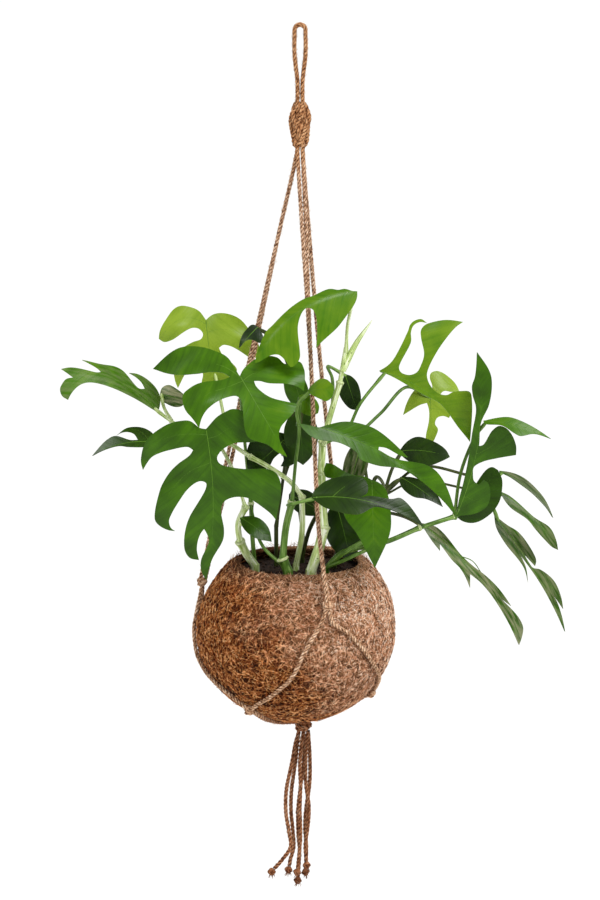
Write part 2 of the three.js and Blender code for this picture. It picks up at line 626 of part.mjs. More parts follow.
// The main vine, pale and jointed, with the arching top leaf and the big leaves to its right
function makeMainVine() {
  leafyStem('main_vine', {
    feet: [[11, -35, 5.6]],
    joints: [
      { from: [11, -35, stemBottomZ], to: [11, -35, stemSurfaceZ], radius: 5.4 },
      {
        from: [11, -35, stemSurfaceZ - 2],
        through: [[19.9, -34, -509]],
        to: [23.9, -33, -491],
        radius: 5.2,
        ring: 6.4,
      },
      {
        from: [23.9, -33, -491],
        through: [[22, -31, -465]],
        to: [20.8, -30, -437],
        radius: 4.4,
        ring: 5.6,
      },
      { from: [20.8, -30, -437], to: [22.4, -26, -406], radius: 3.8, ring: 4.8 },
      {
        from: [22.4, -26, -406],
        through: [[30.5, -23, -378]],
        to: [39.5, -22, -347],
        radius: 3.1,
        ring: 4,
      },
      { from: [39.5, -22, -347], to: [45.3, -24, -312], radius: 2.4 },
    ],
    spikes: [{ from: [42, -23, -335], to: [71, -20, -285], radius: 3.2 }],
    leaves: [
      {
        base: [50.5, -53, -250.8], tip: [-43.5, -78, -317.2], face: [0.15, -0.75, 0.65],
        droop: 50, fold: -16, curl: 16, sway: 0.09,
        right: [
          [0.038, 0.032], [0.042, 0.088], [0.077, 0.133], [0.068, 0.289], [0.081, 0.363],
          [0.069, 0.694], [0.077, 0.775], [0.034, 0.921],
        ],
        left: [
          [0.007, -0.038], [0.057, -0.012], [0.121, 0.046], [0.232, 0.212], [0.271, 0.305],
          [0.316, 0.53], [0.255, 0.472], [0.102, 0.373], [0.038, 0.367], [0.011, 0.396],
          [0.015, 0.436], [0.082, 0.536], [0.279, 0.69], [0.292, 0.743], [0.273, 0.804],
          [0.2, 0.803], [0.137, 0.812], [0.09, 0.855], [0.026, 0.971],
        ],
        stalk: [[45.3, -24, -316], [46.5, -31, -290], [50, -46, -260]],
      },
      {
        base: [78.4, -5, -338.6], tip: [169.1, -14, -408.8], face: [-0.1, -0.95, 0.3],
        droop: 14, fold: 10, curl: 20, sway: -0.11,
        right: [[0.04, 0.345], [0.029, 0.471], [0.007, 0.579], [0.023, 0.835]],
        left: [
          [0.064, 0.029], [0.133, 0.038], [0.431, -0.013], [0.491, -0.031], [0.538, -0.026],
          [0.576, 0.01], [0.559, 0.072], [0.546, 0.02], [0.501, -0.004], [0.43, 0.013],
          [0.341, 0.065], [0.079, 0.121], [0.046, 0.168], [0.058, 0.232], [0.108, 0.264],
          [0.179, 0.254], [0.27, 0.222], [0.407, 0.112], [0.478, 0.069], [0.535, 0.069],
          [0.588, 0.108], [0.644, 0.179], [0.687, 0.314], [0.617, 0.292], [0.393, 0.288],
          [0.195, 0.319], [0.126, 0.347], [0.076, 0.403], [0.051, 0.474], [0.056, 0.536],
          [0.09, 0.589], [0.144, 0.613], [0.199, 0.662], [0.251, 0.728], [0.215, 0.789],
        ],
        stalk: [[22.4, -26, -408], [44.6, -20, -398], [60, -12, -370]],
      },
      {
        base: [18.5, -77, -381.1], tip: [154, -52, -475.4], face: [0.15, -0.85, 0.5],
        droop: 40, fold: 10, curl: 20, sway: -0.05,
        right: [
          [0.005, -0.115], [0.041, -0.069], [0.074, -0.01], [0.079, 0.038], [0.056, 0.146],
          [0.074, 0.258], [0.101, 0.288], [0.099, 0.345], [0.083, 0.41], [0.023, 0.538],
          [0.01, 0.677],
        ],
        left: [
          [0.079, 0.117], [0.106, 0.256], [0.102, 0.322], [0.056, 0.538], [0.04, 0.497],
          [0.035, 0.396], [0.021, 0.357], [0.005, 0.361], [0.005, 0.449], [0.02, 0.508],
          [0.083, 0.65], [0.096, 0.721], [0.085, 0.797], [0.057, 0.875],
        ],
        stalk: [[22.4, -28, -408], [27, -46, -396]],
      },
      {
        base: [131.6, 47, -372.9], tip: [132.6, 37, -423.6], face: [0.1, -0.95, 0.2],
        droop: 24, fold: 8, curl: 26,
        right: [
          [0.114, -0.119], [0.249, -0.144], [0.481, 0.183], [0.545, 0.38], [0.207, 0.195],
          [0.068, 0.159], [0.033, 0.296], [0.038, 0.49], [0.101, 0.877],
        ],
        left: [
          [0.042, -0.077], [0.049, -0.197], [0.015, -0.344], [0.046, -0.446], [0.166, -0.483],
          [0.343, -0.406], [0.506, -0.272], [0.586, -0.082], [0.436, -0.053], [0.276, -0.07],
          [0.174, 0.026], [0.309, 0.184], [0.396, 0.343], [0.359, 0.459], [0.238, 0.418],
          [0.12, 0.454], [0.079, 0.569], [0.136, 0.667], [0.096, 0.803],
        ],
        stalk: [[22.4, -24, -404], [49.7, -12, -405], [80, 14, -386], [107.8, 38, -363]],
        stalkSteps: 5,
      },
      {
        base: [45.4, 40, -350], tip: [57.7, 44, -387.8], face: [-0.1, -0.95, 0.2],
        droop: 24, fold: 8,
        right: [[0.262, 0.32], [0.29, 0.498], [0.238, 0.744], [0.134, 0.918]],
        left: [[0.129, 0.092], [0.226, 0.282], [0.235, 0.504], [0.179, 0.761], [0.065, 0.959]],
        stalk: [[33, -21, -368], [32, 8, -348], [28, 28, -340]],
      },
    ],
  });
}

// The pale side stem that carries the yellow-green leaf behind and the two far-left leaves
function makeSideStem() {
  leafyStem('left_side_stem', {
    feet: [[-4, -12, 3.4]],
    joints: [
      { from: [-4, -12, stemBottomZ], to: [-4, -12, stemSurfaceZ], radius: 3.2 },
      {
        from: [-4, -12, stemSurfaceZ - 2],
        through: [[2, -20, -500]],
        to: [2, -24, -462],
        radius: 2.9,
        ring: 3.8,
      },
      {
        from: [2, -24, -462],
        through: [[-9, -27, -447], [-28.6, -26, -433]],
        to: [-49.5, -22, -422],
        radius: 2.4,
        ring: 3.2,
      },
      { from: [-49.5, -22, -422], to: [-71, -14, -409], radius: 2.2, ring: 3 },
    ],
    leaves: [
      {
        base: [-94.4, 40, -294.9], tip: [-84.6, 34, -369.4], face: [-0.1, -0.97, 0.15],
        droop: 34, fold: 10,
        right: [
          [0.081, -0.13], [0.196, -0.2], [0.333, -0.238], [0.458, -0.196], [0.646, 0.055],
          [0.693, 0.159], [0.625, 0.213], [0.495, 0.203], [0.193, 0.086], [0.103, 0.109],
          [0.058, 0.18], [0.091, 0.242], [0.202, 0.268], [0.349, 0.33], [0.453, 0.437],
          [0.524, 0.583], [0.534, 0.757], [0.494, 0.863], [0.393, 0.707], [0.286, 0.602],
          [0.163, 0.589], [0.127, 0.701], [0.16, 0.833],
        ],
        left: [
          [0.088, -0.054], [0.196, -0.066], [0.35, -0.023], [0.464, 0.049], [0.55, 0.165],
          [0.664, 0.43], [0.66, 0.545], [0.563, 0.612], [0.377, 0.444], [0.28, 0.379],
          [0.191, 0.355], [0.133, 0.387], [0.162, 0.469], [0.253, 0.575], [0.328, 0.704],
          [0.249, 0.786], [0.136, 0.828], [0.072, 0.891],
        ],
        stalk: [[-71, -14, -409], [-77, 10, -384], [-88.3, 38, -334], [-93, 43, -306]],
        stalkSteps: 5,
      },
      {
        base: [-140.9, -15, -378.1], tip: [-232.3, -66, -325.4], face: [0.1, -0.8, 0.6],
        droop: 30, fold: -6, curl: 20, sway: 0.08,
        right: [
          [0.097, -0.023], [0.167, -0.024], [0.199, 0.021], [0.206, 0.176], [0.182, 0.273],
          [0.133, 0.368], [0.139, 0.275], [0.126, 0.215], [0.091, 0.179], [0.046, 0.262],
          [0.118, 0.435], [0.124, 0.509], [0.099, 0.663], [0.102, 0.83], [0.044, 0.678],
          [0.023, 0.648], [0.007, 0.691], [0.017, 0.926],
        ],
        left: [
          [0.027, 0.073], [0.068, 0.33], [0.092, 0.727], [0.118, 0.794], [0.159, 0.838],
          [0.214, 0.868], [0.266, 0.881], [0.234, 0.939], [0.174, 0.971], [0.131, 0.964],
          [0.087, 0.94], [0.071, 0.884],
        ],
        stalk: [[-71, -14, -409], [-99.4, -14, -403], [-128, -12, -388]],
      },
      {
        base: [-143.3, -12, -410.2], tip: [-204.7, -48, -415.7], face: [0.1, -0.8, 0.6],
        droop: 30, fold: 8, curl: 24, sway: 0.06,
        right: [
          [0.138, -0.001], [0.204, 0.084], [0.235, 0.208], [0.222, 0.37], [0.131, 0.576],
          [0.157, 0.489], [0.158, 0.381], [0.12, 0.302], [0.026, 0.275], [0.035, 0.396],
          [0.135, 0.589], [0.124, 0.701],
        ],
        left: [[0.092, 0.232], [0.068, 0.469], [0.026, 0.574]],
        stalk: [[-71, -14, -410], [-100, -12, -407], [-126, -11, -408]],
      },
      {
        base: [-140.1, 14, -365.5], tip: [-114, 10, -371.9], face: [-0.1, -0.95, 0.3],
        droop: 30, fold: 8,
        right: [[0.206, 0.105], [0.292, 0.36], [0.323, 0.673], [0.217, 0.908]],
        left: [[0.229, 0.014], [0.399, 0.192], [0.165, 0.915]],
        stalk: [[-128, -12, -388], [-136, 2, -376]],
      },
    ],
  });
}

// The vine left of the middle, with the small bright leaf and the dark leaf low in front
function makeMiddleVine() {
  leafyStem('middle_vine', {
    feet: [[-12, -36, 5.2]],
    joints: [
      { from: [-12, -36, stemBottomZ], to: [-12, -36, stemSurfaceZ], radius: 5 },
      { from: [-12, -36, stemSurfaceZ - 2], to: [-17.3, -36, -523], radius: 4.9, ring: 6 },
      {
        from: [-17.3, -36, -523],
        through: [[-13.9, -37, -490]],
        to: [-7.9, -40, -464],
        radius: 3.6,
        ring: 4.7,
      },
      {
        from: [-14, -34, -533],
        through: [[-37.9, -24, -511.7]],
        to: [-49.9, -20, -471.7],
        radius: 1.8,
      },
    ],
    leaves: [
      {
        base: [7.8, -68, -347.7], tip: [32.9, -86, -342.3], face: [0.1, -0.8, 0.6],
        droop: 40, fold: 8, curl: 30,
        right: [[0.17, 0.264], [0.335, 0.618], [0.394, 0.878], [0.25, 1.006]],
        left: [[0.192, 0.072], [0.407, 0.512], [0.258, 0.797], [0.129, 0.933]],
        stalk: [[-7.9, -40, -464], [-4.5, -47, -424], [-1, -54, -388], [-3, -60, -364]],
        stalkRadius: 1.8, stalkSteps: 5,
      },
      {
        base: [-1, -48, -355.6], tip: [17.7, -40, -374.2], face: [0.2, -0.9, 0.2],
        droop: 30, fold: 8,
        right: [[0.188, 0.101], [0.354, 0.299], [0.368, 0.562], [0.252, 0.832]],
        left: [[0.169, 0.096], [0.28, 0.292], [0.295, 0.6], [0.179, 0.862]],
        stalk: [[-1.5, -55, -384]],
        stalkSteps: 2,
      },
      {
        base: [11.6, -108, -444.3], tip: [119.5, -122, -469.8], face: [0.05, -0.8, 0.6],
        droop: 40, fold: 12, curl: 50, sway: -0.06,
        right: [
          [0.062, 0.07], [0.114, 0.151], [0.154, 0.347], [0.136, 0.445], [0.038, 0.542],
          [0.017, 0.625],
        ],
        left: [
          [0.045, -0.001], [0.106, 0.036], [0.162, 0.098], [0.192, 0.192], [0.208, 0.316],
          [0.192, 0.397], [0.135, 0.445], [0.071, 0.453], [0.025, 0.413], [0.049, 0.476],
          [0.082, 0.661], [0.122, 0.731], [0.107, 0.799],
        ],
        stalk: [[-7.9, -40, -466], [-12, -62, -462], [-8, -92, -454]],
      },
    ],
  });
}

// The vine on the left, with the big star leaf and the long leaf that hangs below it
function makeLeftVine() {
  leafyStem('left_vine', {
    feet: [[-45, -14, 4.8]],
    joints: [
      { from: [-45, -14, stemBottomZ], to: [-45, -14, stemSurfaceZ], radius: 4.6 },
      {
        from: [-45, -14, stemSurfaceZ - 2],
        through: [[-53, -15, -524]],
        to: [-60, -20, -509],
        radius: 4.2,
        ring: 5.4,
      },
      {
        from: [-60, -20, -509],
        through: [[-61.5, -25, -490]],
        to: [-54, -30, -471],
        radius: 3.2,
        ring: 4.2,
      },
    ],
    leaves: [
      {
        base: [-91.4, -76, -382.8], tip: [-92.8, -64, -537.5], face: [-0.05, -0.96, 0.28],
        droop: 24, fold: 10, curl: 26, sway: -0.05,
        right: [
          [0.037, -0.006], [0.091, -0.048], [0.153, -0.047], [0.232, -0.026], [0.356, 0.051],
          [0.396, 0.096], [0.428, 0.155], [0.449, 0.223], [0.442, 0.274], [0.409, 0.227],
          [0.369, 0.185], [0.312, 0.156], [0.246, 0.135], [0.13, 0.114], [0.102, 0.132],
          [0.125, 0.163], [0.207, 0.222], [0.263, 0.275], [0.305, 0.334], [0.332, 0.391],
          [0.365, 0.589], [0.334, 0.629], [0.281, 0.653], [0.236, 0.657], [0.263, 0.638],
          [0.276, 0.59], [0.257, 0.534], [0.22, 0.468], [0.162, 0.385], [0.109, 0.34],
          [0.071, 0.327], [0.041, 0.339], [0.043, 0.371], [0.145, 0.552], [0.168, 0.626],
          [0.175, 0.715], [0.162, 0.79], [0.125, 0.837], [0.067, 0.852], [0.088, 0.782],
          [0.087, 0.714], [0.072, 0.666], [0.054, 0.639], [0.034, 0.674], [0.018, 0.722],
          [0.054, 0.852], [0.044, 0.924],
        ],
        left: [
          [0.085, -0.077], [0.143, -0.109], [0.197, -0.129], [0.257, -0.118], [0.315, -0.076],
          [0.347, -0.015], [0.354, 0.06], [0.289, 0.074], [0.169, 0.082], [0.122, 0.102],
          [0.074, 0.134], [0.043, 0.179], [0.052, 0.21], [0.088, 0.227], [0.212, 0.242],
          [0.356, 0.241], [0.403, 0.265], [0.423, 0.308], [0.426, 0.371], [0.399, 0.578],
          [0.359, 0.528], [0.233, 0.431], [0.19, 0.42], [0.139, 0.422], [0.095, 0.437],
          [0.063, 0.464], [0.05, 0.518], [0.073, 0.642], [0.071, 0.709], [0.015, 0.853],
        ],
        stalk: [[-54, -30, -473], [-66, -48, -430], [-84, -66, -394]],
      },
      {
        base: [-60, -29, -482], tip: [-28, -46, -503], face: [0.1, -0.8, 0.6],
        droop: 40,
        right: [[0.18, 0.25], [0.24, 0.5], [0.18, 0.75]],
        left: [[0.18, 0.25], [0.24, 0.5], [0.18, 0.75]],
        stalk: [[-58, -26, -490]],
        stalkSteps: 2,
      },
    ],
  });
}

// The slender stem of the star-shaped leaf
function makeStarLeaf() {
  leafyStem('star_leaf_stem', {
    feet: [[-46, 2, 2.8]],
    joints: [
      { from: [-46, 2, stemBottomZ], to: [-46, 2, stemSurfaceZ], radius: 2.6 },
      {
        from: [-46, 2, stemSurfaceZ - 2],
        through: [[-48, -4, -505]],
        to: [-49, -10, -472],
        radius: 2.4,
        ring: 3.2,
      },
    ],
    leaves: [
      {
        base: [-58.3, -70, -331.5], tip: [-12.5, -104, -404.7], face: [-0.05, -0.92, 0.35],
        droop: 30, fold: 4, curl: 20,
        right: [
          [0.011, -0.263], [0.056, -0.371], [0.356, -0.747], [0.757, -0.821], [0.677, -0.652],
          [0.531, -0.42], [0.392, -0.313], [0.247, -0.23], [0.136, -0.131], [0.094, -0.046],
          [0.181, -0.063], [0.399, -0.197], [0.519, -0.224], [0.626, -0.215], [0.67, -0.133],
          [0.673, -0.009], [0.655, 0.103], [0.656, 0.235], [0.588, 0.179], [0.503, 0.138],
          [0.401, 0.121], [0.304, 0.123], [0.217, 0.141], [0.14, 0.177], [0.117, 0.243],
          [0.236, 0.542], [0.242, 0.634], [0.109, 0.795], [0.064, 0.904],
        ],
        left: [
          [0.059, -0.042], [0.158, -0.071], [0.255, -0.077], [0.355, -0.045], [0.439, 0.018],
          [0.476, 0.108], [0.564, 0.123], [0.632, 0.155], [0.619, 0.261], [0.567, 0.373],
          [0.5, 0.481], [0.461, 0.418], [0.384, 0.343], [0.213, 0.227], [0.152, 0.164],
          [0.099, 0.131], [0.09, 0.191], [0.112, 0.282], [0.17, 0.391], [0.367, 0.57],
          [0.295, 0.631], [0.1, 0.701], [0.036, 0.771], [0.009, 0.865],
        ],
        stalk: [[-49, -10, -472], [-54, -12, -420], [-58, -40, -356]],
      },
    ],
  });
}

// A dark leaf stands behind, left of the middle
function makeBackLeftStem() {
  leafyStem('back_left_stem', {
    feet: [[-24, 10, 2.6]],
    joints: [
      { from: [-24, 10, stemBottomZ], to: [-24, 10, stemSurfaceZ], radius: 2.4 },
      { from: [-24, 10, stemSurfaceZ - 2], to: [-24, 6, -498], radius: 2.2 },
    ],
    leaves: [
      {
        base: [-10, -8, -402.5], tip: [-52, -18, -439], face: [0.2, -0.9, 0.3],
        droop: 30,
        right: [[0.3, 0.25], [0.4, 0.5], [0.3, 0.75]],
        left: [
          [0.12, 0], [0.277, 0.062], [0.412, 0.225], [0.397, 0.381], [0.3, 0.5], [0.245, 0.382],
          [0.184, 0.349], [0.185, 0.371], [0.12, 0.34], [0.12, 0.5], [0.165, 0.625], [0.16, 0.75],
          [0.105, 0.875],
        ],
        stalk: [[-24, 6, -500], [-17, 2, -450]],
      },
      {
        base: [-41, -44, -287.7], tip: [-59.5, -50, -307.5], face: [-0.1, -0.9, 0.45],
        droop: 30, fold: 8,
        right: [[0.125, 0.021], [0.227, 0.115], [0.232, 0.314], [0.212, 0.539], [0.13, 0.791]],
        left: [[0.357, 0.122], [0.529, 0.256], [0.427, 0.409], [0.202, 0.47], [0.039, 0.606]],
        stalk: [[-17, 2, -450], [-10, -5, -404], [-7, -18, -350], [-24, -34, -302]],
      },
      {
        base: [-1, -8, -376.5], tip: [3, -9, -433.3], face: [0.1, -0.97, 0.2],
        droop: 24, fold: 6, curl: 20,
        right: [[0.17, 0.1], [0.29, 0.33], [0.29, 0.58], [0.17, 0.84]],
        left: [[0.2, 0.14], [0.3, 0.4], [0.26, 0.66], [0.13, 0.88]],
        stalk: [[-17, 2, -450], [-8, 4, -425]],
        stalkSteps: 3,
      },
      {
        base: [3, -12, -376.7], tip: [-10.9, -20, -324.8], face: [-0.1, -0.97, 0.2],
        droop: 24, fold: 6, curl: 20,
        right: [[0.13, 0.12], [0.2, 0.36], [0.18, 0.62], [0.1, 0.85]],
        left: [[0.14, 0.14], [0.22, 0.4], [0.19, 0.66], [0.09, 0.87]],
        stalk: [[-12, -3, -412], [-3, -8, -408]],
        stalkSteps: 3,
      },
    ],
  });
}

// The stem that leans out to the right and carries the upright leaf and the trailing ones
function makeRightStem() {
  leafyStem('right_stem', {
    feet: [[26, -24, 3.6]],
    joints: [
      { from: [26, -24, stemBottomZ], to: [26, -24, stemSurfaceZ], radius: 3.4 },
      {
        from: [26, -24, stemSurfaceZ - 2],
        through: [[42, -36, -517]],
        to: [66, -40, -508],
        radius: 3.1,
        ring: 4,
      },
      {
        from: [66, -40, -508],
        through: [[84, -40, -505]],
        to: [119, -32, -492],
        radius: 2.6,
        ring: 3.4,
      },
      { from: [119, -32, -492], to: [154, -22, -483], radius: 2.4, ring: 3.2 },
      { from: [154, -22, -483], to: [190, 8, -466], radius: 2.2, ring: 3.2 },
      {
        from: [30, -28, -532],
        through: [[44.6, -46, -513.5]],
        to: [68.2, -50, -498.2],
        radius: 2.4,
      },
      {
        from: [28, -27, -534],
        through: [[39.7, -42, -524.7]],
        to: [72.3, -48, -507.9],
        radius: 1.9,
      },
    ],
    leaves: [
      {
        base: [155.3, -26, -481.5], tip: [174.3, -24, -316.1], face: [0.25, -0.94, 0.1],
        droop: 24, fold: 10, curl: 26, sway: 0.06,
        right: [
          [0.093, 0.025], [0.132, 0.049], [0.156, 0.084], [0.156, 0.135], [0.14, 0.184],
          [0.114, 0.227], [0.085, 0.243], [0.064, 0.21], [0.028, 0.231], [0.01, 0.273],
          [0.005, 0.316], [0.046, 0.352], [0.136, 0.384], [0.242, 0.41], [0.232, 0.465],
          [0.198, 0.529], [0.158, 0.567], [0.114, 0.576], [0.075, 0.543], [0.032, 0.454],
          [0.01, 0.446], [0.005, 0.584], [0.048, 0.695], [0.068, 0.808], [0.067, 0.866],
          [0.053, 0.911],
        ],
        left: [
          [0.025, 0.106], [0.033, 0.183], [0.046, 0.51], [0.032, 0.672], [0.053, 0.741],
          [0.057, 0.799], [0.034, 0.853],
        ],
        stalk: [[154, -22, -485]],
        stalkSteps: 2,
      },
      {
        base: [196.4, 22, -491.8], tip: [269.4, 10, -611.1], face: [0.3, -0.8, 0.5],
        droop: 44, fold: -10, curl: 20, sway: 0.012,
        right: [
          [0.044, 0.077], [0.062, 0.206], [0.05, 0.427], [0.082, 0.532], [0.037, 0.436],
          [0.02, 0.346], [0.006, 0.584],
        ],
        left: [
          [0.036, 0.111], [0.079, 0.196], [0.087, 0.323], [0.07, 0.433], [0.033, 0.462],
          [0.006, 0.345], [0.006, 0.458], [0.056, 0.504], [0.117, 0.637], [0.102, 0.765],
          [0.07, 0.847], [0.041, 0.684], [0.047, 0.772], [0.029, 0.889],
        ],
        stalk: [[190, 10, -466], [194, 17, -480]],
        stalkSteps: 2,
      },
      {
        base: [201.7, 2, -463.4], tip: [259.3, -6, -521.3], face: [0.3, -0.8, 0.5],
        droop: 34, fold: -8, curl: 20, sway: -0.03,
        right: [
          [0.051, 0.066], [0.096, 0.219], [0.07, 0.469], [0.082, 0.625], [0.072, 0.792],
          [0.048, 0.918],
        ],
        left: [[0.019, 0.087], [0.01, 0.489], [0.088, 0.739], [0.056, 0.897]],
        stalk: [[192, 6, -467]],
        stalkSteps: 2,
      },
      {
        base: [202, 40, -450], tip: [258.6, 50, -501.5], face: [0.5, -0.2, 0.85],
        droop: 40,
        right: [[0.105, 0.25], [0.14, 0.5], [0.105, 0.75]],
        left: [[0.12, 0.25], [0.16, 0.5], [0.12, 0.75]],
        stalk: [[190, 10, -466], [196, 26, -456]],
      },
      {
        base: [180.8, -30, -384.2], tip: [247.4, -40, -400.3], face: [0.1, -0.8, 0.6],
        droop: 34, fold: 8, curl: 20, sway: -0.03,
        right: [[0.052, 0.056], [0.05, 0.283], [0.133, 0.474], [0.153, 0.565], [0.046, 0.746]],
        left: [[0.089, 0.292], [0.097, 0.404]],
        stalk: [[154, -22, -483], [160, -17, -440], [174, -20, -402]],
      },
      {
        base: [157.1, -12, -485.9], tip: [198, -4, -439.5], face: [0.1, -0.97, 0.2],
        droop: 24, fold: 6, curl: 20,
        right: [
          [0.101, 0.007], [0.229, 0.078], [0.318, 0.194], [0.362, 0.339], [0.365, 0.497],
          [0.338, 0.659], [0.255, 0.799], [0.14, 0.931],
        ],
        left: [[0.086, 0.36], [0.15, 0.871], [0.106, 0.972]],
        stalk: [[154, -22, -483]],
        stalkSteps: 2,
      },
    ],
  });
}

// The dark stalks right of the middle, with the hanging face-on leaf and the trailing leaf
function makeInnerRightStem() {
  leafyStem('inner_right_stem', {
    feet: [[34, 6, 3.4]],
    joints: [
      { from: [34, 6, stemBottomZ], to: [34, 6, stemSurfaceZ], radius: 3.2 },
      {
        from: [34, 6, stemSurfaceZ - 2],
        through: [[48, 0, -506]],
        to: [68, -8, -484],
        radius: 2.8,
        ring: 3.7,
      },
      { from: [68, -8, -484], to: [84, -14, -462], radius: 2.4, ring: 3.2 },
      {
        from: [84, -14, -462],
        through: [[120.4, 6, -438.6]],
        to: [173.4, 18, -450.5],
        radius: 1.5,
      },
      {
        from: [83, -13.5, -464],
        through: [[116.3, 0, -451.6]],
        to: [169.3, 14, -463],
        radius: 1.2,
      },
    ],
    leaves: [
      {
        base: [70.7, -60, -437.2], tip: [73.7, -74, -522.7], face: [-0.1, -0.96, 0.2],
        droop: 24, fold: 6, curl: 24,
        right: [
          [0.067, -0.035], [0.248, -0.075], [0.465, -0.212], [0.539, -0.231], [0.566, -0.15],
          [0.532, -0.06], [0.408, -0.025], [0.293, 0.027], [0.332, 0.137], [0.351, 0.249],
          [0.315, 0.409], [0.186, 0.603],
        ],
        left: [[0.068, 0.026], [0.134, 0.084], [0.177, 0.175], [0.205, 0.4], [0.187, 0.602]],
        stalk: [[84, -14, -464], [82, -34, -446], [75, -52, -436]],
      },
      {
        base: [120.8, 4, -495.8], tip: [221.7, -5, -620.6], face: [0.3, -0.75, 0.6],
        droop: 46, fold: -10, curl: 20, sway: -0.02,
        right: [
          [0.047, 0.13], [0.063, 0.208], [0.029, 0.178], [0.052, 0.299], [0.052, 0.368],
          [0.063, 0.425], [0.088, 0.501], [0.03, 0.438], [0.013, 0.516], [0.005, 0.609],
        ],
        left: [
          [0.053, 0.086], [0.015, 0.316], [0.024, 0.416], [0.054, 0.518], [0.078, 0.637],
          [0.087, 0.774], [0.041, 0.68], [0.103, 0.891], [0.099, 0.948], [0.059, 0.978],
        ],
        stalk: [[68, -8, -484], [84, 0, -484], [104, 4, -489]],
      },
      {
        base: [99.1, 2, -422.3], tip: [148.7, -26, -421.4], face: [0.05, -0.75, 0.65],
        droop: 50, fold: 10, curl: 30,
        right: [[0.163, 0.2], [0.27, 0.406], [0.304, 0.603], [0.249, 0.765], [0.13, 0.902]],
        left: [
          [0.203, 0.131], [0.257, 0.219], [0.267, 0.364], [0.23, 0.564], [0.161, 0.77],
          [0.099, 0.896],
        ],
        stalk: [[84, -14, -462], [92, -6, -438]],
      },
      {
        base: [99.8, -12, -444.9], tip: [141.6, -40, -469.1], face: [0.1, -0.85, 0.5],
        droop: 36, fold: 10, curl: 30,
        right: [[0.124, 0.117], [0.188, 0.29], [0.191, 0.501], [0.087, 0.685]],
        left: [[0.088, 0.171], [0.147, 0.379], [0.152, 0.579], [0.111, 0.77]],
        stalk: [[84, -15, -460], [94, -14, -450]],
        stalkSteps: 3,
      },
      {
        base: [62, 0, -409.7], tip: [46.1, -4, -464.1], face: [0.1, -0.97, 0.2],
        droop: 24, fold: 6, curl: 20,
        right: [[0.13, 0.12], [0.2, 0.36], [0.18, 0.62], [0.1, 0.85]],
        left: [[0.14, 0.14], [0.22, 0.4], [0.19, 0.66], [0.09, 0.87]],
        stalk: [[68, -8, -482], [68, -2, -460]],
        stalkSteps: 3,
      },
    ],
  });
}

// The lowest stem on the right, with a small shaded leaf
function makeLowRightStem() {
  leafyStem('low_right_stem', {
    feet: [[2, 22, 2.8]],
    joints: [
      { from: [2, 22, stemBottomZ], to: [2, 22, stemSurfaceZ], radius: 2.6 },
      {
        from: [2, 22, stemSurfaceZ - 2],
        through: [[10, 18, -505]],
        to: [24, 6, -476],
        radius: 2.3,
        ring: 3.1,
      },
      {
        from: [2, 22, -533],
        through: [[3, 12, -511.2]],
        to: [-2, 8, -473],
        radius: 2,
      },
    ],
    leaves: [
      {
        base: [36, -14, -471], tip: [51.1, -17, -530], face: [0.15, -0.97, 0.15],
        droop: 20,
        right: [[0.17, 0.1], [0.29, 0.33], [0.29, 0.58], [0.17, 0.84]],
        left: [[0.2, 0.14], [0.3, 0.4], [0.26, 0.66], [0.13, 0.88]],
        stalk: [[24, 6, -476], [28, -4, -464]],
        stalkSteps: 3,
      },
      {
        base: [-11.1, 6, -466.4], tip: [24.1, 0, -484.6], face: [0.05, -0.97, 0.3],
        droop: 24, fold: 6, curl: 20,
        right: [[0.17, 0.1], [0.29, 0.33], [0.29, 0.58], [0.17, 0.84]],
        left: [[0.2, 0.14], [0.3, 0.4], [0.26, 0.66], [0.13, 0.88]],
        stalk: [[-2, 8, -474], [-8, 8, -464.8]],
        stalkSteps: 2,
      },
    ],
  });
}

makeMainVine();
makeSideStem();
makeMiddleVine();
makeLeftVine();
makeStarLeaf();
makeBackLeftStem();
makeRightStem();
makeInnerRightStem();
makeLowRightStem();
makePot();
makeSoil();
makeTopKnot();
makeLoop();
makeLegs();
makeNet();
makeBottomKnot();
makeUnderCords();
makeTails();

export default group;
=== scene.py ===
import random
from math import asin, atan2, ceil, copysign, cos, degrees, floor, hypot, pi, radians, sin, sqrt, tau

import bmesh
import bpy
from mathutils import Matrix, Quaternion, Vector, noise
from mathutils.kdtree import KDTree


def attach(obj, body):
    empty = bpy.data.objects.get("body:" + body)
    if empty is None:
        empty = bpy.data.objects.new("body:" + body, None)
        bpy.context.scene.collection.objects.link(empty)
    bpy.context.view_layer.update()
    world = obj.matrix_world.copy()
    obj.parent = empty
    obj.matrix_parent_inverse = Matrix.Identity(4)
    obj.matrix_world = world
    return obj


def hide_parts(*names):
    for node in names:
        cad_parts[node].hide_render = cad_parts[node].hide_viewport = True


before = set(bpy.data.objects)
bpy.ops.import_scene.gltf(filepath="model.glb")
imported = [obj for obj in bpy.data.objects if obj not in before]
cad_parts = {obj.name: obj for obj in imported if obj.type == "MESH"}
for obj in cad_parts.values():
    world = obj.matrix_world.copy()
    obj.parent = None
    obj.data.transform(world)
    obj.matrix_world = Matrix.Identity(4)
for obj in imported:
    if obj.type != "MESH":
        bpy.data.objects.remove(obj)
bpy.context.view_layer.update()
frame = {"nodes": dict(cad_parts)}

scene = bpy.context.scene
mm = 0.001  # every size below is in millimetres until a mesh is made

# The camera stands where the photograph's did, a little above the ball and level with the loop
view = {"target": (0, 0, -419.87), "elevation": 12, "distance": 3000, "lens": 120, "sensor": 36}


def placeCamera():
    lift = radians(view["elevation"])
    camera = bpy.data.cameras.new("studioCamera")
    camera.lens = view["lens"]
    camera.sensor_width = view["sensor"]
    holder = bpy.data.objects.new("studioCamera", camera)
    away = Vector((0, -cos(lift), sin(lift))) * view["distance"]
    holder.location = (Vector(view["target"]) + away) * mm
    holder.rotation_euler = (pi / 2 - lift, 0, 0)
    scene.collection.objects.link(holder)
    scene.camera = holder


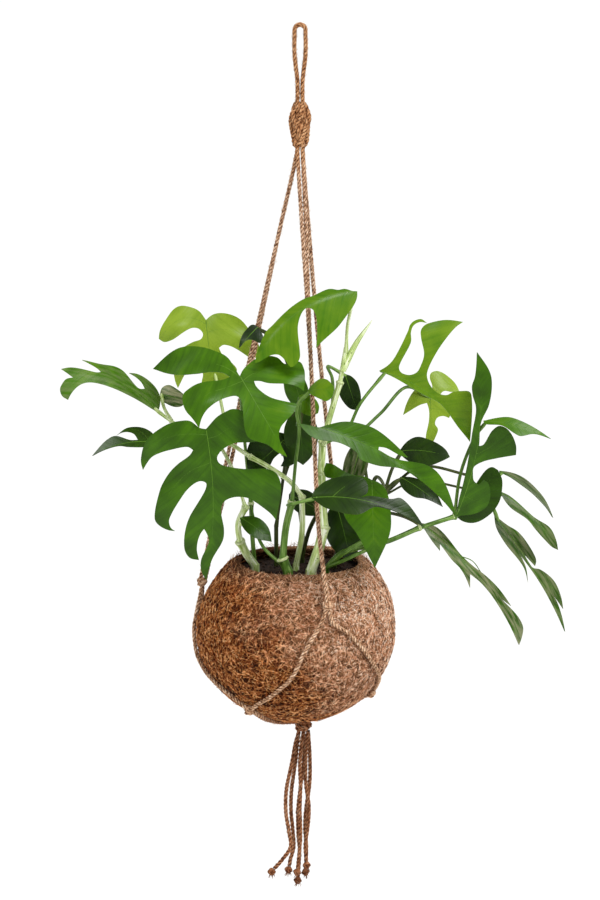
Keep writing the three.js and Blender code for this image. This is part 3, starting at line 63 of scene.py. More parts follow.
placeCamera()
print("camera placed")


# Colours are written as sRGB hex and turned linear here
def toLinear(hexColour):
    channels = [int(hexColour[i:i + 2], 16) / 255 for i in (1, 3, 5)]
    return (*[c / 12.92 if c <= 0.04045 else ((c + 0.055) / 1.055) ** 2.4 for c in channels], 1.0)


# Adds one node. Each setting is a property, a socket's constant value, or a link into a socket,
# which is written as (node, output). The functions below add the common nodes and return a link
def addNode(material, kind, settings=None):
    node = material.node_tree.nodes.new("ShaderNode" + kind)
    for name, value in (settings or {}).items():
        if isinstance(value, tuple) and isinstance(value[0], bpy.types.Node):
            material.node_tree.links.new(value[0].outputs[value[1]], node.inputs[name])
        elif isinstance(name, int) or name in node.inputs:
            node.inputs[name].default_value = value
        else:
            setattr(node, name, value)
    return node


# Where a pattern lies: in the room, in metres, or on the mesh's UV map
def objectPlace(material):
    return addNode(material, "TexCoord"), "Object"


def flatPlace(material):
    return addNode(material, "UVMap"), "UV"


def addAttribute(material, name):
    return addNode(material, "Attribute", {"attribute_name": name}), "Fac"


def addParts(material, place):
    return addNode(material, "SeparateXYZ", {0: place})


def addMapping(material, place, scale, slant=0.0):
    settings = {"Vector": place, "Scale": scale, "Rotation": (0.0, 0.0, slant)}
    return addNode(material, "Mapping", settings), 0


def addNoise(material, place, scale, detail, roughness=0.5, distortion=0.0):
    settings = {"Scale": scale, "Detail": detail, "Roughness": roughness, "Distortion": distortion}
    return addNode(material, "TexNoise", {"Vector": place, **settings}), 0


# Each of the values is a number or a link
def addMath(material, operation, *values, clamp=False):
    settings = {"operation": operation, "use_clamp": clamp, **dict(enumerate(values))}
    return addNode(material, "Math", settings), 0


def addRange(material, value, low, high):
    return addNode(material, "MapRange", {0: value, 1: low, 2: high}), 0


def addBlend(material, share, first, second):
    return addNode(material, "Mix", {"data_type": "FLOAT", 0: share, 2: first, 3: second}), 0


def addColourBlend(material, share, first, second, blend="MIX"):
    settings = {"data_type": "RGBA", "blend_type": blend, 0: share, 6: first, 7: second}
    return addNode(material, "Mix", settings), 2


def addRamp(material, value, stops):
    node = addNode(material, "ValToRGB", {"Fac": value})
    ramp = node.color_ramp
    while len(ramp.elements) < len(stops):
        ramp.elements.new(0.5)
    for element, (place, colour) in zip(ramp.elements, stops):
        element.position = place
    for element, (place, colour) in zip(ramp.elements, stops):
        element.color = toLinear(colour)
    return node, 0


def addBump(material, height, strength, depth):
    return addNode(material, "Bump", {"Height": height, "Strength": strength, "Distance": depth}), 0


def newMaterial(name):
    material = bpy.data.materials.new(name)
    material.use_nodes = True
    material.node_tree.nodes.clear()
    return material


# Ends a material with its surface
def closeMaterial(material, colour, roughness, gloss, normal=None):
    settings = {"Base Color": colour, "Roughness": roughness, "Specular IOR Level": gloss}
    if normal:
        settings["Normal"] = normal
    surface = addNode(material, "BsdfPrincipled", settings)
    addNode(material, "OutputMaterial", {"Surface": (surface, "BSDF")})
    return material


# The curve through the points, as the CAD source makes it: centripetal Catmull-Rom
def smoothRoute(points, spacing):
    points = [Vector(place) for place in points]
    reached = [2 * points[0] - points[1], *points, 2 * points[-1] - points[-2]]
    route = [points[0]]
    for before, start, end, after in zip(reached, reached[1:], reached[2:], reached[3:]):
        first, middle, last = [
            max((b - a).length ** 0.5, 1e-4) for a, b in ((before, start), (start, end), (end, after))
        ]
        leave = (start - before) / first - (end - before) / (first + middle) + (end - start) / middle
        arrive = (end - start) / middle - (after - start) / (middle + last) + (after - end) / last
        leave, arrive = leave * middle, arrive * middle
        steps = max(1, ceil((end - start).length / spacing))
        for i in range(1, steps + 1):
            t = i / steps
            square, cube = t * t, t * t * t
            route.append(
                (2 * cube - 3 * square + 1) * start + (cube - 2 * square + t) * leave
                + (3 * square - 2 * cube) * end + (cube - square) * arrive
            )
    return route


def routeLength(route):
    return sum((b - a).length for a, b in zip(route, route[1:]))


# How far along the route each of its points is
def reachedAlong(route):
    reached = [0.0]
    for a, b in zip(route, route[1:]):
        reached.append(reached[-1] + (b - a).length)
    return reached


# Two directions across the route at each of its points, carried along it without a twist
def carriedFrames(route, closed=False):
    last = len(route) - 1
    frames = []
    side = None
    for i, place in enumerate(route):
        if closed:
            ahead = (route[(i + 1) % len(route)] - route[i - 1]).normalized()
        else:
            ahead = (route[min(i + 1, last)] - route[max(i - 1, 0)]).normalized()
        side = ahead.orthogonal() if side is None else side - ahead * side.dot(ahead)
        side.normalize()
        frames.append((side.copy(), ahead.cross(side)))
    return frames


# A curve object's data: every spline in it has its own radii, in millimetres
def newCurve(name, roundness, *materials):
    curve = bpy.data.curves.new(name, "CURVE")
    curve.dimensions = "3D"
    curve.bevel_depth = mm
    curve.bevel_resolution = roundness
    curve.use_fill_caps = True
    for material in materials:
        curve.materials.append(material)
    return curve


def addStrand(curve, places, radii, finish=0, closed=False):
    spline = curve.splines.new("POLY")
    spline.points.add(len(places) - 1)
    spline.points.foreach_set("co", [c for place in places for c in (*(place * mm), 1.0)])
    spline.points.foreach_set("radius", radii if isinstance(radii, list) else [radii] * len(places))
    spline.use_cyclic_u = closed
    spline.material_index = finish
    spline.use_smooth = True


# The curve's tubes as a mesh; stretch is their length in centimetres, so that a pattern on the
# UV map keeps its real size along them
def meshFromCurve(curve, stretch=1.0):
    holder = bpy.data.objects.new("curveHolder", curve)
    scene.collection.objects.link(holder)
    bpy.context.view_layer.update()
    mesh = bpy.data.meshes.new_from_object(holder.evaluated_get(bpy.context.evaluated_depsgraph_get()))
    bpy.data.objects.remove(holder)
    bpy.data.curves.remove(curve)
    for corner in mesh.uv_layers[0].data:
        corner.uv.x *= stretch
    return mesh


# A mesh from a bmesh, which is then let go
def meshFromShape(shape, name, smooth=False):
    if smooth:
        for face in shape.faces:
            face.smooth = True
    mesh = bpy.data.meshes.new(name)
    shape.to_mesh(mesh)
    shape.free()
    return mesh


# How far each point of a cord stands out from its middle line, from 0 in a groove, at low, to 1 on
# the outside, at high; the jute's painted shade in the grooves follows it
def markDepth(mesh, route, low=0.95, high=2.1):
    tree = KDTree(len(route))
    for i, place in enumerate(route):
        tree.insert(place * mm, i)
    tree.balance()
    layer = mesh.attributes.new("cordDepth", "FLOAT", "POINT")
    for vertex, value in zip(mesh.vertices, layer.data):
        away = tree.find(vertex.co)[2] / mm
        value.value = min(max((away - low) / (high - low), 0), 1)
    return mesh


# Every finished piece rides on the one body and stands for its CAD nodes, which it hides
def finishPiece(name, mesh, slot, *nodes):
    piece = bpy.data.objects.new(name, mesh)
    mesh.name = name
    scene.collection.objects.link(piece)
    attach(piece, "root")
    if nodes:
        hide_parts(*nodes)
    return piece


def polar(angle, reach):
    return Vector((cos(angle) * reach, sin(angle) * reach, 0))


# The ball's own shape, from its azimuth (0 is the front) and latitude
ball = {
    "radius": 100,
    "depth": 89.5,  # from the middle to the lowest point
    "middleZ": -608,
    "sway": -4.5,  # how far the lowest part hangs to the left
    "swayHeight": 70,  # over which it comes in, below the middle
    "wall": 7,
    "soilEdge": 41.8,  # the latitude where the soil meets the wall
}


def outward(azimuth):
    turn = radians(azimuth)
    return Vector((sin(turn), -cos(turn), 0))


def sideways(azimuth):
    turn = radians(azimuth)
    return Vector((cos(turn), sin(turn), 0))


def ballPoint(azimuth, latitude, distance):
    turn, lift = radians(azimuth), radians(latitude)
    lumps = 0.011 * sin(3 * turn + 1) + 0.007 * sin(5 * turn + 3 * lift)  # about 1 mm in and out
    reach = distance * (1 + cos(lift) * lumps)
    height = reach - (ball["radius"] - ball["depth"]) if latitude < 0 else reach
    place = outward(azimuth) * reach * cos(lift)
    place.z = ball["middleZ"] + height * sin(lift)
    low = min(max((ball["middleZ"] - place.z + ball["swayHeight"]) / ball["swayHeight"], 0), 1)
    place.x += ball["sway"] * low * low * (3 - 2 * low)
    return place


# Three-ply jute cord, about 5 mm thick
rope = {
    "strandRadius": 1.1,
    "strandOffset": 1.1,
    "turnLength": 13,  # one full turn of the three strands
    "stepsPerTurn": 10,
    "hairGap": 1.6,  # one loose fibre for each so many millimetres of cord
    "hairLength": (2.2, 5.5),
    "hairRadius": 0.09,
    "hairLean": 0.6,  # how far a hair turns aside, as a share of its length
    "topKnotZ": -95,
    "bundleZ": -118.6,
    "pairOffset": 2.52,
    "rowSpacing": 5.04,
    "loopHalf": 5.3,  # half the loop's width
    "loopTop": 2.3,
}


# Jute: dull golden-brown bast fibres laid side by side and twisted, so streaks run along each
# strand; the grooves between strands are darkened with painted shade, and nothing shines
def makeJute():
    material = newMaterial("twistedJute")
    # Round the strand a fibre is about 0.7 mm wide; along it, streaks are 4 mm long and slant
    along = addMapping(material, flatPlace(material), (2.6, 10.0, 1.0), slant=0.35)
    streaks = addNoise(material, along, scale=1.0, detail=5.0, roughness=0.7)
    room = objectPlace(material)
    # Patches about 3 mm long, darker and paler: partly the fibre's own uneven tone, partly painted
    # highlights and painted shade
    patches = addNoise(material, room, scale=310.0, detail=3.0, roughness=0.65)
    fibres = [(0.36, "#452c1d"), (0.44, "#977156"), (0.5, "#cfac8d"), (0.56, "#ecd2b9"), (0.64, "#fff4e4")]
    colour = addRamp(material, addBlend(material, 0.62, streaks, patches), fibres)
    # Painted shade: darkest in a groove between strands, none on the outside of a strand
    paintedGrooveShade = [(0.0, "#1a0d06"), (0.42, "#604531"), (0.85, "#ffffff")]
    shade = addRamp(material, addAttribute(material, "cordDepth"), paintedGrooveShade)
    shaded = addColourBlend(material, 1.0, colour, shade, "MULTIPLY")
    # The loop, the top knot and the tails are made darker and browner than the legs. The places run
    # from 0, 1 m below the hook, to 1, at the hook
    heightTint = [
        (0.13, "#8f6950"), (0.16, "#c09a80"), (0.305, "#c09a80"), (0.33, "#f8eadd"), (0.45, "#f8eadd"),
        (0.5, "#efe1d8"), (0.84, "#f0e4dc"), (0.88, "#dcbb99"),
    ]
    level = addMath(material, "ADD", (addParts(material, room), "Z"), 1.0)
    tinted = addColourBlend(material, 1.0, shaded, addRamp(material, level, heightTint), "MULTIPLY")
    bump = addBump(material, streaks, strength=0.8, depth=0.0004)
    return closeMaterial(material, tinted, roughness=0.85, gloss=0.12, normal=bump)


# Single jute fibres that stand off the cord: pale, because light comes through them
def makeJuteHair():
    material = newMaterial("looseJuteFibre")
    patches = addNoise(material, objectPlace(material), scale=220.0, detail=1.0)
    colour = addRamp(material, patches, [(0.35, "#8f6c4d"), (0.5, "#c2a07e"), (0.65, "#e4d2b6")])
    return closeMaterial(material, colour, roughness=0.8, gloss=0.2)


jute = makeJute()
juteHair = makeJuteHair()
cordFinishes = {"cord": 0, "hair": 1}  # their places in the list of a cord's or a knot's materials


# Three strands wound round the route, each turned by a third
def addTwist(curve, route, strandRadius, strandOffset, turnLength, closed=False, start=0.0):
    frames = carriedFrames(route, closed)
    reached = reachedAlong(route)
    total = reached[-1]
    turns = total / turnLength
    if closed:
        total += (route[0] - route[-1]).length
        turns = max(1, round(total / turnLength))  # whole turns, so that the ends meet
    for ply in range(3):
        strand = []
        for place, (side, up), length in zip(route, frames, reached):
            angle = start + tau * (turns * length / total + ply / 3)
            strand.append(place + (side * cos(angle) + up * sin(angle)) * strandOffset)
        addStrand(curve, strand, strandRadius, cordFinishes["cord"], closed)


# Fine fibres that leave the cord's surface along it and bend away; rise is how far their tips
# stand off
def addHairs(curve, route, rng, reach=2.3, share=1.0, rise=(0.6, 2.2)):
    frames = carriedFrames(route)
    radius = rope["hairRadius"]
    for _ in range(int(routeLength(route) / rope["hairGap"] * share)):
        i = rng.randrange(1, len(route) - 1)
        side, up = frames[i]
        angle = rng.uniform(0, tau)
        away = side * cos(angle) + up * sin(angle)
        along = (route[i + 1] - route[i - 1]).normalized() * rng.choice((-1, 1))
        length = rng.uniform(*rope["hairLength"])
        lift = rng.uniform(*rise)
        foot = route[i] + away * (reach - 0.5)  # half a millimetre inside the cord's surface
        across = away.cross(along) * rng.uniform(-rope["hairLean"], rope["hairLean"])
        # The hair lifts off slowly at first: a third of its rise by its middle
        middle = foot + along * length * 0.5 + away * (0.35 + lift * 0.35) + across * length * 0.3
        tip = foot + (along * length + across * length * 0.7) * 0.9 + away * (0.4 + lift)
        addStrand(curve, [foot, middle, tip], [radius, radius, radius * 0.5], cordFinishes["hair"])


# One cord of the hanger
def makeCord(name, node, points, seed, hairShare=1.0, rise=(0.6, 2.2)):
    rng = random.Random(seed)
    route = smoothRoute(points, rope["turnLength"] / rope["stepsPerTurn"])
    curve = newCurve(name, 1, jute, juteHair)
    addTwist(
        curve, route, rope["strandRadius"], rope["strandOffset"], rope["turnLength"],
        start=rng.uniform(0, tau),
    )
    addHairs(curve, route, rng, share=hairShare, rise=rise)
    mesh = markDepth(meshFromCurve(curve, routeLength(route) / 10), route)
    return finishPiece(name, mesh, "jute", node), route


# The six free tails under the ball, made first because they are the object's loose cords.
# Each has the offset of its start under the knot and then the points that it follows
tails = [
    [
        (-4.6, -2.6), (-4.3, -5, -723.1), (-8.7, -9, -746.3), (-14, -10, -772.7), (-14.5, -10, -796.3),
        (-11.3, -10, -817.8), (-9.7, -11, -833.6), (-16.9, -12, -845.1), (-26.2, -12, -856.4),
    ],
    [
        (-4.6, 2.8), (-2.6, 3, -725.6), (-5.1, 2, -749.9), (-8.7, 1, -776.4), (-9.2, 0, -799.7),
        (-7.2, -1, -820.9), (-6.7, -2, -837.9), (-9.8, -3, -849.4), (-11, -4, -856.1),
    ],
    [
        (0, -5.4), (1.6, -8.5, -722), (-0.2, -9.5, -746.2), (0.5, -10, -767.4), (-0.2, -10, -794.1),
        (0.5, -9, -818.1), (-0.5, -8, -837.9), (-2.4, -8, -857.3),
    ],
    [
        (0, 5.4), (3.6, 7, -726.9), (3.6, 7, -751.5), (0.5, 6, -774.8), (-2.1, 5, -799.2),
        (-1.9, 5, -823), (-0.5, 3.5, -844.1), (-2.1, 1, -869.3),
    ],
    [
        (4.6, -2.6), (6.6, -4, -723.4), (5.6, -3, -748.3), (6.1, -3, -769.7), (9.2, -4, -794),
        (7.7, -4.5, -815.4), (5.4, -4, -835), (6.5, -4.5, -851),
    ],
    [
        (4.6, 2.8), (9.2, 4, -726), (10.2, 4.5, -750.7), (9.7, 5, -772.3), (6.2, 5, -797.1),
        (5.1, 5, -818.7), (6.5, 6.5, -838.7), (5.8, 8, -863.1),
    ],
]
tailFacts = {
    "startZ": -713, "lengths": [152, 145, 145, 157, 139, 151], "diameter": 4.6, "knotDrop": 4.5,
    "knotHalf": (3.6, 3.6, 4.2), "knotTurn": {"radius": 2.7, "thickness": 1.8, "tilt": 18},
}
bottomKnot = {"middle": (3.5, 0, -706.5), "half": (7.4, 7.4, 6.8)}


# A closed turn of three-ply cord that lies over a knot's core, a point for each 1.3 mm of it
def addTurn(curve, middle, turn, start):
    thick = turn["thickness"]
    count = max(18, int(tau * turn["radius"] / 1.3))
    tilt = Matrix.Rotation(radians(turn["heading"]), 3, "Z") @ Matrix.Rotation(radians(turn["tilt"]), 3, "X")
    rise = Vector((0, 0, turn.get("height", 0)))
    ring = [middle + tilt @ polar(tau * i / count, turn["radius"]) + rise for i in range(count)]
    # Strands that together are as thick as the turn, with a lay of about six times that
    addTwist(curve, ring, thick * 0.54, thick * 0.48, thick * 6.2, closed=True, start=start)
    return ring


# The heart of a knot, a slightly lumpy solid under its turns
def knotHeart(half, middle, seed):
    lump = bmesh.new()
    bmesh.ops.create_icosphere(lump, subdivisions=3, radius=1)
    for vertex in lump.verts:
        bumps = noise.noise(vertex.co * 1.7 + Vector((seed, 0, 0)))  # three or four across it
        vertex.co *= 1 + 0.08 * bumps
        vertex.co = (Vector([vertex.co[k] * half[k] for k in range(3)]) + middle) * mm
    return meshFromShape(lump, "knotHeart", smooth=True)


# Joins meshes that share their list of materials into the first one
def joinMeshes(meshes, *materials):
    together = bmesh.new()
    for mesh in meshes:
        together.from_mesh(mesh)
        bpy.data.meshes.remove(mesh)
    joined = meshFromShape(together, "joined")
    for material in materials:
        joined.materials.append(material)
    return joined


# The cut ends of the fibres, which fray out under a knot: their spread to each side, and how far
# they reach
fray = {"spread": 0.7, "bend": 0.8, "middle": 2.4, "tip": 4.6, "radii": [0.3, 0.22, 0.1]}


def makeKnot(name, node, middle, half, turns, seed, tufts=0):
    rng = random.Random(seed)
    middle = Vector(middle)
    curve = newCurve(name, 1, jute, juteHair)
    rings = []
    for turn in turns:
        ring = addTurn(curve, middle, turn, rng.uniform(0, 6))
        addHairs(curve, ring, rng, reach=turn["thickness"], share=0.5, rise=(0.3, 1.2))
        rings += ring
    for _ in range(tufts):
        aside = [rng.uniform(-fray["spread"], fray["spread"]) for _ in range(2)]
        away = Vector((*aside, -1)).normalized()
        foot = middle + away * half[2] * 0.6  # inside the knot
        bend = Vector([rng.uniform(-1, 1) for _ in range(3)]) * fray["bend"]
        places = [foot, foot + away * fray["middle"] + bend * 0.4, foot + away * fray["tip"] + bend]
        addStrand(curve, places, fray["radii"], cordFinishes["cord"])
    mesh = joinMeshes([meshFromCurve(curve, 4.0), knotHeart(half, middle, seed)], jute, juteHair)
    thick = turns[0]["thickness"]
    # The grooves between the turns and their strands get the jute's painted shade
    mesh = markDepth(mesh, rings, low=thick * 0.42, high=thick)
    return finishPiece(name, mesh, "jute", node)


# The top knot is one cord woven round the others: it laps them four times while it rises and
# falls five times, over and under itself
topKnot = {
    "half": (7.4, 7.8, 21.5),
    "laps": 4,
    "waves": 5,
    "steps": 420,
    "endRadius": 3.0,
    "bulge": 5.7,
    "lift": 20.5,
    "weave": 0.9,  # how far it moves in and out at a crossing
    "crossings": 15,
    "strandRadius": 1.25,
    "strandOffset": 1.2,
    "length": 60.0,  # of the cord in it, in centimetres
    "seed": 57,
}


def makeTopKnot():
    rng = random.Random(topKnot["seed"])
    middle = Vector((0, 0, rope["topKnotZ"]))
    route = []
    for i in range(topKnot["steps"]):
        turn = tau * i / topKnot["steps"]
        height = sin(topKnot["waves"] * turn)
        # Barrel-shaped: fullest at mid height, and drawn in where the cord turns back
        reach = topKnot["endRadius"] + topKnot["bulge"] * sqrt(1 - 0.96 * height * height)
        reach += topKnot["weave"] * sin(topKnot["crossings"] * turn) * (1 - height * height)
        place = polar(topKnot["laps"] * turn + 0.5, reach)
        place.z = topKnot["lift"] * height * (0.86 + 0.14 * height * height)
        route.append(middle + place)
    curve = newCurve("topKnot", 1, jute, juteHair)
    addTwist(curve, route, topKnot["strandRadius"], topKnot["strandOffset"], rope["turnLength"], closed=True)
    addHairs(curve, route, rng, reach=2.4, share=0.5, rise=(0.3, 1.2))
    heart = knotHeart(topKnot["half"], middle, topKnot["seed"])
    mesh = joinMeshes([meshFromCurve(curve, topKnot["length"]), heart], jute, juteHair)
    # Its grooves get the jute's painted shade too
    finishPiece("topKnot", markDepth(mesh, route, low=1.1, high=2.4), "jute", "top_knot")


def makeTails():
    for i, (start, *rest) in enumerate(tails):
        middle = Vector(bottomKnot["middle"])
        first = Vector((middle.x + start[0], middle.y + start[1], tailFacts["startZ"]))
        ending = (Vector(rest[-1]) - Vector(rest[-2])).normalized()
        knot = makeKnot(
            f"tailKnot{i + 1}", f"tail_knot_{i + 1}", Vector(rest[-1]) + ending * tailFacts["knotDrop"],
            tailFacts["knotHalf"], [{**tailFacts["knotTurn"], "heading": 50 * i}], 40 + i, tufts=14,
        )
        cord, route = makeCord(
            f"tailCord{i + 1}", f"tail_cord_{i + 1}", [first, *rest], 30 + i, hairShare=0.8, rise=(0.2, 0.7),
        )


makeTails()
print("tails made")

# The knots of the hanger: azimuth and latitude on the ball, then the cords' bends round it
hanger = {
    "upperKnots": {"front": (16.6, 28.2), "rear": (152.8, 27), "left": (-99.8, 25.5)},
    "upperDistance": 110,
    "lowerKnots": {"left": (-35.7, -42.2), "right": (90, -43.3), "rear": (-151.2, -43.3)},
    "lowerDistance": 106,
    "cordDistance": 103,
    "underLatitudes": (-49, -58, -68, -78),
    "smallHalf": (4.3, 4.3, 4.8),
    "smallTurns": [
        {"radius": 3.6, "thickness": 2.0, "tilt": 22, "heading": 20, "height": 1.2},
        {"radius": 3.6, "thickness": 2.0, "tilt": -24, "heading": 70, "height": -1.0},
        {"radius": 3.0, "thickness": 1.8, "tilt": 64, "heading": 110, "height": 0},
    ],
    "bottomTurns": [
        {"radius": 6.9, "thickness": 2.3, "tilt": 14, "heading": 30, "height": 0.9},
        {"radius": 6.6, "thickness": 2.3, "tilt": -14, "heading": 100, "height": -1.8},
        {"radius": 5.4, "thickness": 2.2, "tilt": 58, "heading": 60, "height": 0},
    ],
}
# Where each pair of legs leaves the top knot, and at each sixth of its way how far it has turned
# (in degrees) and how far it bows to the left
legs = {
    "front": {
        "start": (0, -5.04), "turns": (0, 40, 75, 90, 90, 90, 90), "bows": (0, 0.7, 1.4, 2.3, 3.7, 4.4, 0),
    },
    "rear": {"start": (2.52, 2.52), "turns": (90,) * 7, "bows": (0, 1.5, 2.5, 3, 2.6, 1.6, 0)},
    "left": {"start": (-2.52, 2.52), "turns": (90, 90, 72, 45, 20, 5, 0), "bows": (0,) * 7},
}
# The bends of each net cord from its upper knot down: azimuth and latitude
netBends = {
    ("front", "left"): [(12.9, 18.5), (9, 12), (3.9, 2.2), (-1.9, -11.5), (-14.4, -26), (-27.1, -36.1)],
    ("front", "right"): [(20, 19.5), (30.9, 12), (43.1, -1.2), (51.2, -10.8), (63.3, -22.2), (77, -34.4)],
    ("left", "front"): [(-96.5, 18), (-93.5, 10), (-91, 0), (-85, -13.5), (-67.9, -23.9), (-49, -33.8)],
    ("left", "rear"): [(-103.5, 18), (-107, 8), (-112.9, -4.3), (-122.3, -18.4), (-135.5, -31.6)],
    ("rear", "right"): [(149, 19.5), (142, 9), (131, -4.3), (116, -19.5), (101.5, -32.7)],
    ("rear", "left"): [(156.5, 19.5), (162, 8), (170, -5.4), (182, -20.6), (196.5, -33.8)],
}
# The lower knot at the far end of each net cord
netEnds = {
    ("front", "left"): "left", ("front", "right"): "right", ("left", "front"): "left",
    ("left", "rear"): "rear", ("rear", "right"): "right", ("rear", "left"): "rear",
}


def upperPlace(which):
    return ballPoint(*hanger["upperKnots"][which], hanger["upperDistance"])


def lowerPlace(which):
    return ballPoint(*hanger["lowerKnots"][which], hanger["lowerDistance"])


# The loop: up the left side, over the top in an arc and down the right side
def loopPoints(row):
    pair, half, top = rope["pairOffset"], rope["loopHalf"], rope["loopTop"]
    y = row * rope["rowSpacing"]
    rising = [(-pair, y, -82), (-pair, y, -73), (-pair, y, -52), (-half, y, -27), (-half, y, -8)]
    arc = [
        (half * cos(radians(a)), y, top - half + half * sin(radians(a)))
        for a in (160, 125, 90, 55, 20)
    ]
    return rising + arc + [(-x, y, z) for x, y, z in reversed(rising)]


def legPoints(which, sign):
    leg = legs[which]
    start, end = Vector((*leg["start"], rope["bundleZ"])), upperPlace(which)
    points = []
    for i, (turn, bow) in enumerate(zip(leg["turns"], leg["bows"])):
        pair = polar(radians(turn), sign * rope["pairOffset"])
        points.append(start.lerp(end, i / 6) + pair - Vector((bow, 0, 0)))
    return [points[0] + Vector((0, 0, 9)), *points]  # from 9 mm up, inside the top knot


# A net cord leaves its upper knot 3 mm below the middle, a little to its own side
def netPoints(route):
    bends = netBends[route]
    knotAzimuth = hanger["upperKnots"][route[0]][0]
    sign = 1 if bends[0][0] > knotAzimuth else -1
    start = upperPlace(route[0]) + sideways(knotAzimuth) * 1.2 * sign
    points = [start - Vector((0, 0, 3))]
    for i, (azimuth, latitude) in enumerate(bends):
        lift = 1.8 if i == 0 else 0  # the first bend still stands off under the knot
        points.append(ballPoint(azimuth, latitude, hanger["cordDistance"] + lift))
    return [*points, lowerPlace(netEnds[route]).lerp(points[-1], 0.12)]  # to just inside the lower knot


# From just inside the lower knot to about halfway between the last bend and the bottom knot
def underPoints(which, sign):
    azimuth = hanger["lowerKnots"][which][0]
    shift = sideways(azimuth) * sign * rope["pairOffset"]
    bends = [
        ballPoint(azimuth, latitude, hanger["cordDistance"]) + shift for latitude in hanger["underLatitudes"]
    ]
    middle = Vector(bottomKnot["middle"]) + Vector((0, 0, 3.5))  # the bottom knot's upper half
    return [lowerPlace(which).lerp(bends[0], 0.15), *bends, middle + (bends[-1] - middle) * 0.45]


# Two cords side by side for each knot: a on the left of their line and b on the right
def makePairs(part, knots, findPoints, seed):
    for i, which in enumerate(knots):
        for letter, sign in (("a", -1), ("b", 1)):
            name = f"{which}{part}Cord{letter.upper()}"
            points = findPoints(which, sign)
            makeCord(name, f"{which}_{part.lower()}_cord_{letter}", points, seed + 2 * i + sign)


def makeSmallKnots(part, knots, findPlace, seed):
    for i, which in enumerate(knots):
        makeKnot(
            f"{which}{part}Knot", f"{which}_{part.lower()}_knot", findPlace(which),
            hanger["smallHalf"], hanger["smallTurns"], seed + i,
        )


netRoutes = []  # the middle lines of the cords that lie on the ball


def makeHanger():
    for row in (-1, 0, 1):
        makeCord(f"loopCord{row + 2}", f"loop_cord_{row + 2}", loopPoints(row), 1 + row, rise=(0.4, 1.8))
    makePairs("Leg", hanger["upperKnots"], legPoints, 5)
    for i, (start, end) in enumerate(netBends):
        name, node = f"{start}{end.title()}NetCord", f"net_cord_{start}_{end}"
        cord, line = makeCord(name, node, netPoints((start, end)), 12 + i, hairShare=0.6)
        netRoutes.extend(line)
    makePairs("Under", hanger["lowerKnots"], underPoints, 22)
    makeSmallKnots("Upper", hanger["upperKnots"], upperPlace, 50)
    makeSmallKnots("Lower", hanger["lowerKnots"], lowerPlace, 53)
    makeKnot(
        "bottomKnot", "bottom_knot", bottomKnot["middle"], bottomKnot["half"], hanger["bottomTurns"], 56,
    )
    makeTopKnot()


makeHanger()
print("hanger made")

# The pot: coconut fibre pressed into a thick ball wall, with an open top and a soft ragged rim
coir = {
    "columns": 200,
    "rowStep": 2.6,  # degrees of latitude between rows
    "outsideTop": 43,  # the latitude of the outside's last row under the rim
    # The rim's rounded section, from outside to inside: latitude and distance
    "rim": [(45, 100), (46.7, 99.8), (48.3, 99.2), (49.7, 98), (50.7, 96.4), (51, 94.6), (50.7, 93)],
    "lumpHeight": 1.0,
    "lumpSize": 0.045,  # lumps for each millimetre, so one for each 22 mm
    "tuftHeight": 0.4,
    "tuftSize": 0.23,
    "fibreRadius": (0.15, 0.34),
    "fibreLength": (4, 14),
    "fibreSteps": 2,
    "fibreCurl": 1.0,  # radians that it may turn at each step
    "fibreLift": (-0.1, 0.75),  # how far it lies over the mat
    "fibreArch": 0.6,
    "fibresForEachPiece": 6800,
    "finishShares": (0.42, 0.36, 0.22),  # of pale, red and dark fibres
    "topLatitude": 44.5,
    "strayShare": 0.012,
    "strayLift": 1.9,
    "cordClearance": 3.0,  # from a net cord's middle line, so the cord isn't grown over
    "rimFibres": 1100,
    "rimDistance": (92.6, 100.4),
    "rimMiddle": 96.5,
    "rimLatitude": 49.2,
    "rimDrift": 16,  # along the rim
    "rimAxis": 60,  # about how far the rim is from the ball's axis
    "rimTall": (0.6, 3.6),
    "rimLean": 5,  # in or out
    "rimRadius": (0.13, 0.26),
    "rimShares": (0.45, 0.35, 0.2),
}


# How far the pressed mat stands out or in, from its place on the ball
def matRelief(place):
    lumps = noise.noise(place * coir["lumpSize"]) * coir["lumpHeight"]
    return lumps + noise.noise(place * coir["tuftSize"]) * coir["tuftHeight"]


# The ball is painted paler and pinkish high on its right, as painted light, and dark and red low
# down and on its left, as painted shade; the value runs from 0, darkest, to 1, palest
def addPaintedLightAndPatches(material, room):
    parts = addParts(material, room)
    patches = addNoise(material, room, scale=17.0, detail=4.0, roughness=0.6)
    # Paler, as painted light, by 0.75 for each 10 cm to the right and by 0.45 for each 10 cm up;
    # patches about 6 cm wide move it by up to 0.75 either way
    aside = addMath(material, "MULTIPLY_ADD", (parts, "X"), 7.5, 3.02)
    height = addMath(material, "MULTIPLY_ADD", (parts, "Z"), 4.5, aside)
    level = addMath(material, "MULTIPLY_ADD", patches, 1.5, -0.75)
    return addMath(material, "ADD", height, level, clamp=True)


# Mixes a fibre's darker colour into its paler one, by the painted light and the patches
def addCoirColour(material, room, value, darkStops, paleStops):
    darker, paler = addRamp(material, value, darkStops), addRamp(material, value, paleStops)
    return addColourBlend(material, addPaintedLightAndPatches(material, room), darker, paler)


# Pressed coconut fibre: matt red-brown, with painted shade as dark pits between the fibres
def makeMatMaterial():
    material = newMaterial("pressedCoconutFibre")
    room = objectPlace(material)
    # Fibres about 2 mm apart show between the loose ones; the grain's darkest end is painted shade between
    # them
    grain = addNoise(material, room, scale=560.0, detail=3.0, roughness=0.7, distortion=1.5)
    colour = addCoirColour(
        material, room, grain,
        [(0.4, "#0b0402"), (0.5, "#33160a"), (0.6, "#6a3617")],
        [(0.4, "#38220f"), (0.5, "#946748"), (0.6, "#dcab83")],
    )
    bump = addBump(material, grain, strength=0.9, depth=0.0009)
    return closeMaterial(material, colour, roughness=0.95, gloss=0.04, normal=bump)


